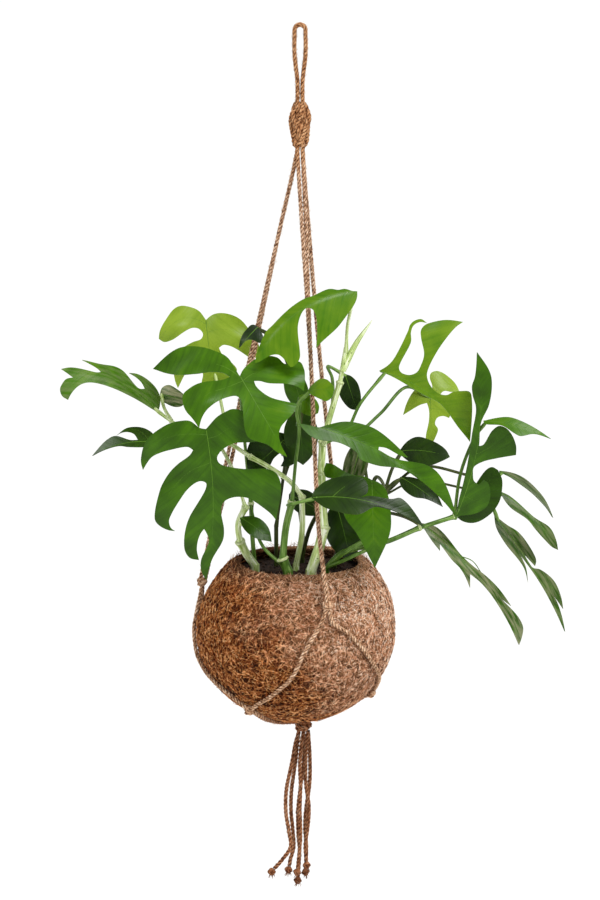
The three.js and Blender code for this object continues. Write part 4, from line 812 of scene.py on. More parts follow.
# Loose coconut fibre: stiff, slightly shiny hairs from straw to dark brown
def makeFibreMaterial(name, darkColours, paleColours):
    material = newMaterial(name)
    room = objectPlace(material)
    patches = addNoise(material, room, scale=300.0, detail=2.0)
    darkStops, paleStops = [list(zip((0.36, 0.5, 0.64), colours)) for colours in (darkColours, paleColours)]
    colour = addCoirColour(material, room, patches, darkStops, paleStops)
    return closeMaterial(material, colour, roughness=0.65, gloss=0.1)


coirMat = makeMatMaterial()
# Darker colours, for painted shade and dark patches, then paler ones, for painted light and pale patches
fibreColours = {
    "paleCoconutFibre": (("#a4602c", "#d98e50", "#ffc587"), ("#dba47f", "#f7cfb0", "#fff2e0")),
    "redCoconutFibre": (("#5a2810", "#8c481f", "#ba6932"), ("#a86c48", "#d89d75", "#f5c8a7")),
    "darkCoconutFibre": (("#100603", "#281308", "#43220f"), ("#2c190e", "#563723", "#855c41")),
}
fibreFinishes = [makeFibreMaterial(name, *colours) for name, colours in fibreColours.items()]


# A shell spun from its profile round the ball's axis; points nearer than a small distance to each
# other are joined, as those at its two poles are
def spinProfile(profile, columns, nearest):
    shell = bmesh.new()
    places = [shell.verts.new((reach, 0, height)) for reach, height in profile]
    rows = [shell.edges.new(pair) for pair in zip(places, places[1:])]
    bmesh.ops.spin(
        shell, geom=rows, cent=(0, 0, 0), axis=(0, 0, 1), angle=tau, steps=columns, use_merge=True,
    )
    bmesh.ops.remove_doubles(shell, verts=shell.verts, dist=nearest)
    bmesh.ops.recalc_face_normals(shell, faces=shell.faces)
    return shell


# The azimuth, latitude and distance of a point of such a shell
def ballAngles(place):
    latitude = degrees(atan2(place.z, hypot(place.x, place.y)))
    return degrees(atan2(place.x, -place.y)), latitude, place.length


def makePot():
    outside, inside = ball["radius"], ball["radius"] - ball["wall"]
    rowCount = int((90 + coir["outsideTop"]) / coir["rowStep"]) + 1
    profile = [(-90 + coir["rowStep"] * i, outside) for i in range(rowCount)] + coir["rim"]
    rimEnd = coir["rim"][-1][0]
    profile += [(rimEnd - 2.97 * i, inside) for i in range(1, 3)]  # two rows down to the soil
    profile += [(ball["soilEdge"] - 6.6 * i, inside) for i in range(1, 21)]  # and 20 to the bottom
    section = [
        (distance * cos(radians(max(latitude, -90))), distance * sin(radians(max(latitude, -90))))
        for latitude, distance in profile
    ]
    shell = spinProfile(section, coir["columns"], nearest=0.01)
    for vertex in shell.verts:
        azimuth, latitude, distance = ballAngles(vertex.co)
        relief = matRelief(ballPoint(azimuth, latitude, distance))
        relief *= 1 if distance > inside + 0.5 else 0.4  # smoother inside
        vertex.co = ballPoint(azimuth, latitude, distance + relief) * mm
    mesh = meshFromShape(shell, "coirBallPot", smooth=True)
    mesh.materials.append(coirMat)
    finishPiece("coirBallPot", mesh, "coir", "coir_ball_pot")


netTree = KDTree(len(netRoutes))
for number, place in enumerate(netRoutes):
    netTree.insert(place, number)
netTree.balance()


# One loose fibre that curls over the mat; a few stray ones leave it at their tip
def addFibre(curve, rng, azimuth, latitude, heading, length):
    steps = coir["fibreSteps"]
    curl = rng.uniform(-coir["fibreCurl"], coir["fibreCurl"])
    stray = coir["strayLift"] if rng.random() < coir["strayShare"] else 0
    lift = rng.uniform(*coir["fibreLift"])
    arch = rng.uniform(0, coir["fibreArch"])
    step = degrees(length / steps / ball["radius"])
    places = []
    for i in range(steps + 1):
        share = i / steps
        distance = ball["radius"] + lift + arch * sin(pi * share) + stray * share * share
        place = ballPoint(azimuth, latitude, distance)
        places.append(ballPoint(azimuth, latitude, distance + matRelief(place)))
        heading += curl * rng.uniform(0.3, 1.0)  # in radians, and unevenly
        latitude = min(latitude + step * sin(heading), coir["topLatitude"])
        azimuth += step * cos(heading) / max(cos(radians(latitude)), 0.08)  # not too far at the pole
    radius = rng.uniform(*coir["fibreRadius"])
    finish = rng.choices((0, 1, 2), coir["finishShares"])[0]
    if all(netTree.find(place)[2] > coir["cordClearance"] for place in places):
        addStrand(curve, places, [radius * 0.8, radius, radius * 0.5], finish)


# Ragged fibres along the rim: some lie over it, some stand up or hang inside
def addRimFibre(curve, rng):
    azimuth = rng.uniform(0, 360)
    distance = rng.uniform(*coir["rimDistance"])
    drift = rng.uniform(-coir["rimDrift"], coir["rimDrift"])
    foot = coir["rimLatitude"] - abs(distance - coir["rimMiddle"]) * 0.7  # lower off its middle
    tall = rng.uniform(*coir["rimTall"])
    leaning = rng.uniform(-coir["rimLean"], coir["rimLean"])
    places = []
    for share in (0, 1 / 3, 2 / 3, 1):
        turned = azimuth + degrees(drift * share / coir["rimAxis"])
        place = ballPoint(turned, foot - 3 + 3 * share, distance + leaning * share)
        place.z += tall * share * share
        places.append(place)
    radius = rng.uniform(*coir["rimRadius"])
    radii = [radius, radius, radius * 0.8, radius * 0.35]
    addStrand(curve, places, radii, rng.choices((0, 1, 2), coir["rimShares"])[0])


def makeFibres():
    for number, side in enumerate(("Front", "Right", "Back", "Left")):
        rng = random.Random(70 + number)
        curve = newCurve("coirFibres" + side, 0, *fibreFinishes)
        for _ in range(coir["fibresForEachPiece"]):
            height = rng.uniform(-0.995, 0.7)  # even over the ball's surface
            addFibre(
                curve, rng, 90 * number + rng.uniform(-45, 45), degrees(asin(height)),
                rng.uniform(0, tau), rng.uniform(*coir["fibreLength"]),
            )
        finishPiece("coirFibres" + side, meshFromCurve(curve), "coir")
    rng = random.Random(75)
    curve = newCurve("coirFibresRim", 0, *fibreFinishes)
    for _ in range(coir["rimFibres"]):
        addRimFibre(curve, rng)
    finishPiece("coirFibresRim", meshFromCurve(curve), "coir")


makePot()
makeFibres()
print("pot made")

# Potting soil: dark, damp and crumbly, a little lower than the rim
soil = {
    "columns": 72,
    "gap": 0.3,  # between the soil and the wall
    "rise": 5,  # of the middle over the edge
    "crumbs": 500,
    "crumbReach": 66,
    "crumbRadius": (0.5, 1.9),
    "bumpHeight": 1.6,
    "bumpSize": 0.16,
}


def makeSoilMaterial():
    material = newMaterial("dampPottingSoil")
    clods = addNoise(material, objectPlace(material), scale=260.0, detail=4.0, roughness=0.7)
    colour = addRamp(material, clods, [(0.35, "#140d09"), (0.5, "#2b1c13"), (0.66, "#4a3222")])
    bump = addBump(material, clods, strength=0.9, depth=0.0012)
    return closeMaterial(material, colour, roughness=0.9, gloss=0.3, normal=bump)


soilDistance = ball["radius"] - ball["wall"] - soil["gap"]
soilEdgeReach = soilDistance * cos(radians(ball["soilEdge"]))
soilEdgeHeight = soilDistance * sin(radians(ball["soilEdge"]))


# The level of the soil over the ball's middle, from the share of the way in from its edge
def soilLevel(share):
    return soilEdgeHeight + soil["rise"] * sin(share * pi / 2)


def makeSoil():
    rng = random.Random(81)
    # Rows up the wall to the edge, and then over the top to the middle
    latitudes = [-88] + [-80 + 10 * i for i in range(12)] + [36, ball["soilEdge"]]
    section = [(soilDistance * cos(radians(a)), soilDistance * sin(radians(a))) for a in latitudes]
    section += [(soilEdgeReach * (1 - i / 15) + 0.01, soilLevel(i / 15)) for i in range(1, 16)]
    body = spinProfile(section, soil["columns"], nearest=0.03)
    for vertex in body.verts:
        place = ballPoint(*ballAngles(vertex.co))
        if hypot(vertex.co.x, vertex.co.y) < soilEdgeReach - 1 and place.z > -560:  # its top only
            place.z += noise.noise(place * soil["bumpSize"]) * soil["bumpHeight"]
        vertex.co = place * mm
    for _ in range(soil["crumbs"]):
        angle, reach = rng.uniform(0, tau), soil["crumbReach"] * sqrt(rng.random())
        radius = rng.uniform(*soil["crumbRadius"])
        middle = polar(angle, reach)
        middle.z = ball["middleZ"] + soilLevel(1 - reach / soilEdgeReach) + radius * 0.3  # sunk by a third
        crumb = bmesh.ops.create_icosphere(body, subdivisions=1, radius=radius * mm)
        turn = Quaternion((rng.random(), rng.random(), rng.random()), rng.uniform(0, 3)).to_matrix()
        squash = Matrix.Diagonal((rng.uniform(0.7, 1.3), rng.uniform(0.7, 1.3), rng.uniform(0.6, 1)))
        for vertex in crumb["verts"]:
            vertex.co = turn @ squash @ vertex.co + middle * mm
    mesh = meshFromShape(body, "pottingSoil", smooth=True)
    mesh.materials.append(makeSoilMaterial())
    finishPiece("pottingSoil", mesh, "soil", "potting_soil")


makeSoil()
print("soil made")


# The plant. Each stem has its foot in the soil (x, y and radius), its joints from there up, and its
# leaves with their outline, bend and tone, which goes from 0, the darkest, to 1, the palest: each
# leaf's own colour, together with painted shade on leaves that lie in shade and painted light on
# leaves that light shines through. A side is a leaf's edge from base to tip: how far out from the
# midrib and how far along, both in thousandths of the blade's length
leafShape = {
    "droop": 30,  # degrees that a blade bends along its length
    "fold": 12,  # degrees that its halves rise at the midrib
    "curl": 30,  # degrees that they bend across
    "thickness": 0.6,
    "waveHeight": 0.02,  # of the edge, as a share of the length
    "stalkRadius": 1.7,
    "cellSize": 4.0,
    "edgeStep": 2.2,
    "cornerTurn": 75,  # an edge that turns by more than this is cut sharp
    "ribGap": 0.4,
}
# The places of the finishes in a stem's list of materials
stemFinishes = {"top": 0, "under": 1, "vein": 2, "bark": 3, "ring": 4, "darkStalk": 5}
# The foot ends at the soil's surface, and the first joint starts a little below it
stemFoot = {"buriedZ": -578, "surfaceZ": -534, "overlap": 2}
# A small leaf without notches
plainSides = {
    "right": [(170, 100), (290, 330), (290, 580), (170, 840)],
    "left": [(200, 140), (300, 400), (260, 660), (130, 880)],
}

# The main vine, pale and jointed, with the arching top leaf and the big leaves to its right
mainVine = {
    "node": "main_vine", "bark": "lime", "foot": (11, -35, 5.4),
    "joints": [
        {"through": [(19.9, -34, -509)], "to": (23.9, -33, -491), "radius": 5.2, "ring": 6.4},
        {"through": [(22, -31, -465)], "to": (20.8, -30, -437), "radius": 4.4, "ring": 5.6},
        {"to": (22.4, -26, -406), "radius": 3.8, "ring": 4.8},
        {"through": [(30.5, -23, -378)], "to": (39.5, -22, -347), "radius": 3.1, "ring": 4},
        {"to": (45.3, -24, -312), "radius": 2.4},
    ],
    "spikes": [{"from": (42, -23, -335), "to": (71, -20, -285), "radius": 3.2}],
    "leaves": [
        {
            "base": (50.5, -53, -250.8), "tip": (-43.5, -78, -317.2), "face": (0.15, -0.75, 0.65),
            "tone": 0.6, "droop": 50, "fold": -16, "curl": 16, "sway": 0.09,
            "right": [(38, 32), (42, 88), (77, 133), (68, 289), (81, 363), (69, 694), (77, 775), (34, 921)],
            "left": [
                (7, -38), (57, -12), (121, 46), (232, 212), (271, 305), (316, 530), (255, 472), (102, 373),
                (38, 367), (11, 396), (15, 436), (82, 536), (279, 690), (292, 743), (273, 804), (200, 803),
                (137, 812), (90, 855), (26, 971),
            ],
            "stalk": [(45.3, -24, -316), (46.5, -31, -290), (50, -46, -260)],
        },
        {
            "base": (78.4, -5, -338.6), "tip": (169.1, -14, -408.8), "face": (-0.1, -0.95, 0.3),
            "tone": 0.68, "droop": 14, "fold": 10, "curl": 20, "sway": -0.11, "darkStalk": True,
            "right": [(40, 345), (29, 471), (7, 579), (23, 835)],
            "left": [
                (64, 29), (133, 38), (431, -13), (491, -31), (538, -26), (576, 10), (559, 72), (546, 20),
                (501, -4), (430, 13), (341, 65), (79, 121), (46, 168), (58, 232), (108, 264), (179, 254),
                (270, 222), (407, 112), (478, 69), (535, 69), (588, 108), (644, 179), (687, 314),
                (617, 292), (393, 288), (195, 319), (126, 347), (76, 403), (51, 474), (56, 536), (90, 589),
                (144, 613), (199, 662), (251, 728), (215, 789),
            ],
            "stalk": [(22.4, -26, -408), (44.6, -20, -398), (60, -12, -370)],
        },
        {
            "base": (18.5, -77, -381.1), "tip": (154, -52, -475.4), "face": (0.15, -0.85, 0.5),
            "tone": 0.42, "droop": 40, "fold": 10, "curl": 20, "sway": -0.05,
            "right": [
                (5, -115), (41, -69), (74, -10), (79, 38), (56, 146), (74, 258), (101, 288), (99, 345),
                (83, 410), (23, 538), (10, 677),
            ],
            "left": [
                (79, 117), (106, 256), (102, 322), (56, 538), (40, 497), (35, 396), (21, 357), (5, 361),
                (5, 449), (20, 508), (83, 650), (96, 721), (85, 797), (57, 875),
            ],
            "stalk": [(22.4, -28, -408), (27, -46, -396)],
        },
        {
            "base": (131.6, 47, -372.9), "tip": (132.6, 37, -423.6), "face": (0.1, -0.95, 0.2),
            "tone": 1, "droop": 24, "fold": 8, "curl": 26, "darkStalk": True,
            "right": [
                (114, -119), (249, -144), (481, 183), (545, 380), (207, 195), (68, 159), (33, 296),
                (38, 490), (101, 877),
            ],
            "left": [
                (42, -77), (49, -197), (15, -344), (46, -446), (166, -483), (343, -406), (506, -272),
                (586, -82), (436, -53), (276, -70), (174, 26), (309, 184), (396, 343), (359, 459),
                (238, 418), (120, 454), (79, 569), (136, 667), (96, 803),
            ],
            "stalk": [(22.4, -24, -404), (49.7, -12, -405), (80, 14, -386), (107.8, 38, -363)],
        },
        {
            "base": (45.4, 40, -350), "tip": (57.7, 44, -387.8), "face": (-0.1, -0.95, 0.2),
            "tone": 0.12, "droop": 24, "fold": 8, "darkStalk": True,
            "right": [(262, 320), (290, 498), (238, 744), (134, 918)],
            "left": [(129, 92), (226, 282), (235, 504), (179, 761), (65, 959)],
            "stalk": [(33, -21, -368), (32, 8, -348), (28, 28, -340)],
        },
    ],
}

# The pale side stem that carries the yellow-green leaf behind and the two far-left leaves
leftSideStem = {
    "node": "left_side_stem", "bark": "lime", "foot": (-4, -12, 3.2),
    "joints": [
        {"through": [(2, -20, -500)], "to": (2, -24, -462), "radius": 2.9, "ring": 3.8},
        {
            "through": [(-9, -27, -447), (-28.6, -26, -433)], "to": (-49.5, -22, -422), "radius": 2.4,
            "ring": 3.2,
        },
        {"to": (-71, -14, -409), "radius": 2.2, "ring": 3},
    ],
    "leaves": [
        {
            "base": (-94.4, 40, -294.9), "tip": (-84.6, 34, -369.4), "face": (-0.1, -0.97, 0.15),
            "tone": 0.95, "droop": 34, "fold": 10,
            "right": [
                (81, -130), (196, -200), (333, -238), (458, -196), (646, 55), (693, 159), (625, 213),
                (495, 203), (193, 86), (103, 109), (58, 180), (91, 242), (202, 268), (349, 330), (453, 437),
                (524, 583), (534, 757), (494, 863), (393, 707), (286, 602), (163, 589), (127, 701),
                (160, 833),
            ],
            "left": [
                (88, -54), (196, -66), (350, -23), (464, 49), (550, 165), (664, 430), (660, 545),
                (563, 612), (377, 444), (280, 379), (191, 355), (133, 387), (162, 469), (253, 575),
                (328, 704), (249, 786), (136, 828), (72, 891),
            ],
            "stalk": [(-71, -14, -409), (-77, 10, -384), (-88.3, 38, -334), (-93, 43, -306)],
        },
        {
            "base": (-140.9, -15, -378.1), "tip": (-232.3, -66, -325.4), "face": (0.1, -0.8, 0.6),
            "tone": 0.5, "grey": 0.15, "droop": 30, "fold": -6, "curl": 20, "sway": 0.08,
            "right": [
                (97, -23), (167, -24), (199, 21), (206, 176), (182, 273), (133, 368), (139, 275),
                (126, 215), (91, 179), (46, 262), (118, 435), (124, 509), (99, 663), (102, 830), (44, 678),
                (23, 648), (7, 691), (17, 926),
            ],
            "left": [
                (27, 73), (68, 330), (92, 727), (118, 794), (159, 838), (214, 868), (266, 881), (234, 939),
                (174, 971), (131, 964), (87, 940), (71, 884),
            ],
            "stalk": [(-71, -14, -409), (-99.4, -14, -403), (-128, -12, -388)],
        },
        {
            "base": (-143.3, -12, -410.2), "tip": (-204.7, -48, -415.7), "face": (0.1, -0.8, 0.6),
            "tone": 0.22, "droop": 30, "fold": 8, "curl": 24, "sway": 0.06,
            "right": [
                (138, -1), (204, 84), (235, 208), (222, 370), (131, 576), (157, 489), (158, 381),
                (120, 302), (26, 275), (35, 396), (135, 589), (124, 701),
            ],
            "left": [(92, 232), (68, 469), (26, 574)],
            "stalk": [(-71, -14, -410), (-100, -12, -407), (-126, -11, -408)],
        },
        {
            "base": (-140.1, 14, -365.5), "tip": (-114, 10, -371.9), "face": (-0.1, -0.95, 0.3),
            "tone": 0.3, "grey": 0.55, "droop": 30, "fold": 8,
            "right": [(206, 105), (292, 360), (323, 673), (217, 908)],
            "left": [(229, 14), (399, 192), (165, 915)],
            "stalk": [(-128, -12, -388), (-136, 2, -376)],
        },
    ],
}

# The vine left of the middle, with the small bright leaf and the dark leaf low in front
middleVine = {
    "node": "middle_vine", "bark": "green", "foot": (-12, -36, 5),
    "joints": [
        {"to": (-17.3, -36, -523), "radius": 4.9, "ring": 6},
        {"through": [(-13.9, -37, -490)], "to": (-7.9, -40, -464), "radius": 3.6, "ring": 4.7},
        {
            "from": (-14, -34, -533), "through": [(-37.9, -24, -511.7)], "to": (-49.9, -20, -471.7),
            "radius": 1.8,
        },
    ],
    "leaves": [
        {
            "base": (7.8, -68, -347.7), "tip": (32.9, -86, -342.3), "face": (0.1, -0.8, 0.6),
            "tone": 0.64, "droop": 40, "fold": 8, "curl": 30, "stalkRadius": 1.8,
            "right": [(170, 264), (335, 618), (394, 878), (250, 1006)],
            "left": [(192, 72), (407, 512), (258, 797), (129, 933)],
            "stalk": [(-7.9, -40, -464), (-4.5, -47, -424), (-1, -54, -388), (-3, -60, -364)],
        },
        {
            "base": (-1, -48, -355.6), "tip": (17.7, -40, -374.2), "face": (0.2, -0.9, 0.2),
            "tone": 0.62, "droop": 30, "fold": 8,
            "right": [(188, 101), (354, 299), (368, 562), (252, 832)],
            "left": [(169, 96), (280, 292), (295, 600), (179, 862)],
            "stalk": [(-1.5, -55, -384)],
        },
        {
            "base": (11.6, -108, -444.3), "tip": (119.5, -122, -469.8), "face": (0.05, -0.8, 0.6),
            "tone": 0.12, "droop": 40, "fold": 12, "curl": 50, "sway": -0.06,
            "right": [(62, 70), (114, 151), (154, 347), (136, 445), (38, 542), (17, 625)],
            "left": [
                (45, -1), (106, 36), (162, 98), (192, 192), (208, 316), (192, 397), (135, 445), (71, 453),
                (25, 413), (49, 476), (82, 661), (122, 731), (107, 799),
            ],
            "stalk": [(-7.9, -40, -466), (-12, -62, -462), (-8, -92, -454)],
        },
    ],
}

# The vine on the left, with the big star leaf and the long leaf that hangs below it
leftVine = {
    "node": "left_vine", "bark": "lime", "foot": (-45, -14, 4.6),
    "joints": [
        {"through": [(-53, -15, -524)], "to": (-60, -20, -509), "radius": 4.2, "ring": 5.4},
        {"through": [(-61.5, -25, -490)], "to": (-54, -30, -471), "radius": 3.2, "ring": 4.2},
    ],
    "leaves": [
        {
            "base": (-91.4, -76, -382.8), "tip": (-92.8, -64, -537.5), "face": (-0.05, -0.96, 0.28),
            "tone": 0.38, "droop": 24, "fold": 10, "curl": 26, "sway": -0.05,
            "right": [
                (37, -6), (91, -48), (153, -47), (232, -26), (356, 51), (396, 96), (428, 155), (449, 223),
                (442, 274), (409, 227), (369, 185), (312, 156), (246, 135), (130, 114), (102, 132),
                (125, 163), (207, 222), (263, 275), (305, 334), (332, 391), (365, 589), (334, 629),
                (281, 653), (236, 657), (263, 638), (276, 590), (257, 534), (220, 468), (162, 385),
                (109, 340), (71, 327), (41, 339), (43, 371), (145, 552), (168, 626), (175, 715), (162, 790),
                (125, 837), (67, 852), (88, 782), (87, 714), (72, 666), (54, 639), (34, 674), (18, 722),
                (54, 852), (44, 924),
            ],
            "left": [
                (85, -77), (143, -109), (197, -129), (257, -118), (315, -76), (347, -15), (354, 60),
                (289, 74), (169, 82), (122, 102), (74, 134), (43, 179), (52, 210), (88, 227), (212, 242),
                (356, 241), (403, 265), (423, 308), (426, 371), (399, 578), (359, 528), (233, 431),
                (190, 420), (139, 422), (95, 437), (63, 464), (50, 518), (73, 642), (71, 709), (15, 853),
            ],
            "stalk": [(-54, -30, -473), (-66, -48, -430), (-84, -66, -394)],
        },
        {
            "base": (-60, -29, -482), "tip": (-28, -46, -503), "face": (0.1, -0.8, 0.6),
            "tone": 0.3, "droop": 40,
            "right": [(180, 250), (240, 500), (180, 750)],
            "left": [(180, 250), (240, 500), (180, 750)],
            "stalk": [(-58, -26, -490)],
        },
    ],
}

# The slender stem of the star-shaped leaf
starLeafStem = {
    "node": "star_leaf_stem", "bark": "green", "foot": (-46, 2, 2.6),
    "joints": [
        {"through": [(-48, -4, -505)], "to": (-49, -10, -472), "radius": 2.4, "ring": 3.2},
    ],
    "leaves": [
        {
            "base": (-58.3, -70, -331.5), "tip": (-12.5, -104, -404.7), "face": (-0.05, -0.92, 0.35),
            "tone": 0.47, "droop": 30, "fold": 4, "curl": 20,
            "right": [
                (11, -263), (56, -371), (356, -747), (757, -821), (677, -652), (531, -420), (392, -313),
                (247, -230), (136, -131), (94, -46), (181, -63), (399, -197), (519, -224), (626, -215),
                (670, -133), (673, -9), (655, 103), (656, 235), (588, 179), (503, 138), (401, 121),
                (304, 123), (217, 141), (140, 177), (117, 243), (236, 542), (242, 634), (109, 795),
                (64, 904),
            ],
            "left": [
                (59, -42), (158, -71), (255, -77), (355, -45), (439, 18), (476, 108), (564, 123),
                (632, 155), (619, 261), (567, 373), (500, 481), (461, 418), (384, 343), (213, 227),
                (152, 164), (99, 131), (90, 191), (112, 282), (170, 391), (367, 570), (295, 631),
                (100, 701), (36, 771), (9, 865),
            ],
            "stalk": [(-49, -10, -472), (-54, -12, -420), (-58, -40, -356)],
        },
    ],
}

# A dark leaf stands behind, left of the middle
backLeftStem = {
    "node": "back_left_stem", "bark": "brown", "foot": (-24, 10, 2.4),
    "joints": [
        {"to": (-24, 6, -498), "radius": 2.2},
    ],
    "leaves": [
        {
            "base": (-10, -8, -402.5), "tip": (-52, -18, -439), "face": (0.2, -0.9, 0.3),
            "tone": 0.1, "droop": 30,
            "right": [(300, 250), (400, 500), (300, 750)],
            "left": [
                (120, 0), (277, 62), (412, 225), (397, 381), (300, 500), (245, 382), (184, 349), (185, 371),
                (120, 340), (120, 500), (165, 625), (160, 750), (105, 875),
            ],
            "stalk": [(-24, 6, -500), (-17, 2, -450)],
        },
        {
            "base": (-41, -44, -287.7), "tip": (-59.5, -50, -307.5), "face": (-0.1, -0.9, 0.45),
            "tone": 0.06, "droop": 30, "fold": 8,
            "right": [(125, 21), (227, 115), (232, 314), (212, 539), (130, 791)],
            "left": [(357, 122), (529, 256), (427, 409), (202, 470), (39, 606)],
            "stalk": [(-17, 2, -450), (-10, -5, -404), (-7, -18, -350), (-24, -34, -302)],
        },
        {
            "base": (-1, -8, -376.5), "tip": (3, -9, -433.3), "face": (0.1, -0.97, 0.2),
            "tone": 0.2, "droop": 24, "fold": 6, "curl": 20,
            **plainSides,
            "stalk": [(-17, 2, -450), (-8, 4, -425)],
        },
        {
            "base": (3, -12, -376.7), "tip": (-10.9, -20, -324.8), "face": (-0.1, -0.97, 0.2),
            "tone": 0.46, "droop": 24, "fold": 6, "curl": 20,
            "right": [(130, 120), (200, 360), (180, 620), (100, 850)],
            "left": [(140, 140), (220, 400), (190, 660), (90, 870)],
            "stalk": [(-12, -3, -412), (-3, -8, -408)],
        },
    ],
}

# The stem that leans out to the right and carries the upright leaf and the trailing ones
rightStem = {
    "node": "right_stem", "bark": "green", "foot": (26, -24, 3.4),
    "joints": [
        {"through": [(42, -36, -517)], "to": (66, -40, -508), "radius": 3.1, "ring": 4},
        {"through": [(84, -40, -505)], "to": (119, -32, -492), "radius": 2.6, "ring": 3.4},
        {"to": (154, -22, -483), "radius": 2.4, "ring": 3.2},
        {"to": (190, 8, -466), "radius": 2.2, "ring": 3.2},
        {
            "from": (30, -28, -532), "through": [(44.6, -46, -513.5)], "to": (68.2, -50, -498.2),
            "radius": 2.4,
        },
        {
            "from": (28, -27, -534), "through": [(39.7, -42, -524.7)], "to": (72.3, -48, -507.9),
            "radius": 1.9,
        },
    ],
    "leaves": [
        {
            "base": (155.3, -26, -481.5), "tip": (174.3, -24, -316.1), "face": (0.25, -0.94, 0.1),
            "tone": 0.36, "droop": 24, "fold": 10, "curl": 26, "sway": 0.06,
            "right": [
                (93, 25), (132, 49), (156, 84), (156, 135), (140, 184), (114, 227), (85, 243), (64, 210),
                (28, 231), (10, 273), (5, 316), (46, 352), (136, 384), (242, 410), (232, 465), (198, 529),
                (158, 567), (114, 576), (75, 543), (32, 454), (10, 446), (5, 584), (48, 695), (68, 808),
                (67, 866), (53, 911),
            ],
            "left": [(25, 106), (33, 183), (46, 510), (32, 672), (53, 741), (57, 799), (34, 853)],
            "stalk": [(154, -22, -485)],
        },
        {
            "base": (196.4, 22, -491.8), "tip": (269.4, 10, -611.1), "face": (0.3, -0.8, 0.5),
            "tone": 0.34, "grey": 0.3, "droop": 44, "fold": -10, "curl": 20, "sway": 0.012,
            "right": [(44, 77), (62, 206), (50, 427), (82, 532), (37, 436), (20, 346), (6, 584)],
            "left": [
                (36, 111), (79, 196), (87, 323), (70, 433), (33, 462), (6, 345), (6, 458), (56, 504),
                (117, 637), (102, 765), (70, 847), (41, 684), (47, 772), (29, 889),
            ],
            "stalk": [(190, 10, -466), (194, 17, -480)],
        },
        {
            "base": (201.7, 2, -463.4), "tip": (259.3, -6, -521.3), "face": (0.3, -0.8, 0.5),
            "tone": 0.3, "grey": 0.25, "droop": 34, "fold": -8, "curl": 20, "sway": -0.03,
            "right": [(51, 66), (96, 219), (70, 469), (82, 625), (72, 792), (48, 918)],
            "left": [(19, 87), (10, 489), (88, 739), (56, 897)],
            "stalk": [(192, 6, -467)],
        },
        {
            "base": (202, 40, -450), "tip": (258.6, 50, -501.5), "face": (0.5, -0.2, 0.85),
            "tone": 0.3, "grey": 0.3, "droop": 40,
            "right": [(105, 250), (140, 500), (105, 750)],
            "left": [(120, 250), (160, 500), (120, 750)],
            "stalk": [(190, 10, -466), (196, 26, -456)],
        },
        {
            "base": (180.8, -30, -384.2), "tip": (247.4, -40, -400.3), "face": (0.1, -0.8, 0.6),
            "tone": 0.5, "droop": 34, "fold": 8, "curl": 20, "sway": -0.03,
            "right": [(52, 56), (50, 283), (133, 474), (153, 565), (46, 746)],
            "left": [(89, 292), (97, 404)],
            "stalk": [(154, -22, -483), (160, -17, -440), (174, -20, -402)],
        },
        {
            "base": (157.1, -12, -485.9), "tip": (198, -4, -439.5), "face": (0.1, -0.97, 0.2),
            "tone": 0.26, "droop": 24, "fold": 6, "curl": 20,
            "right": [
                (101, 7), (229, 78), (318, 194), (362, 339), (365, 497), (338, 659), (255, 799), (140, 931),
            ],
            "left": [(86, 360), (150, 871), (106, 972)],
            "stalk": [(154, -22, -483)],
        },
    ],
}

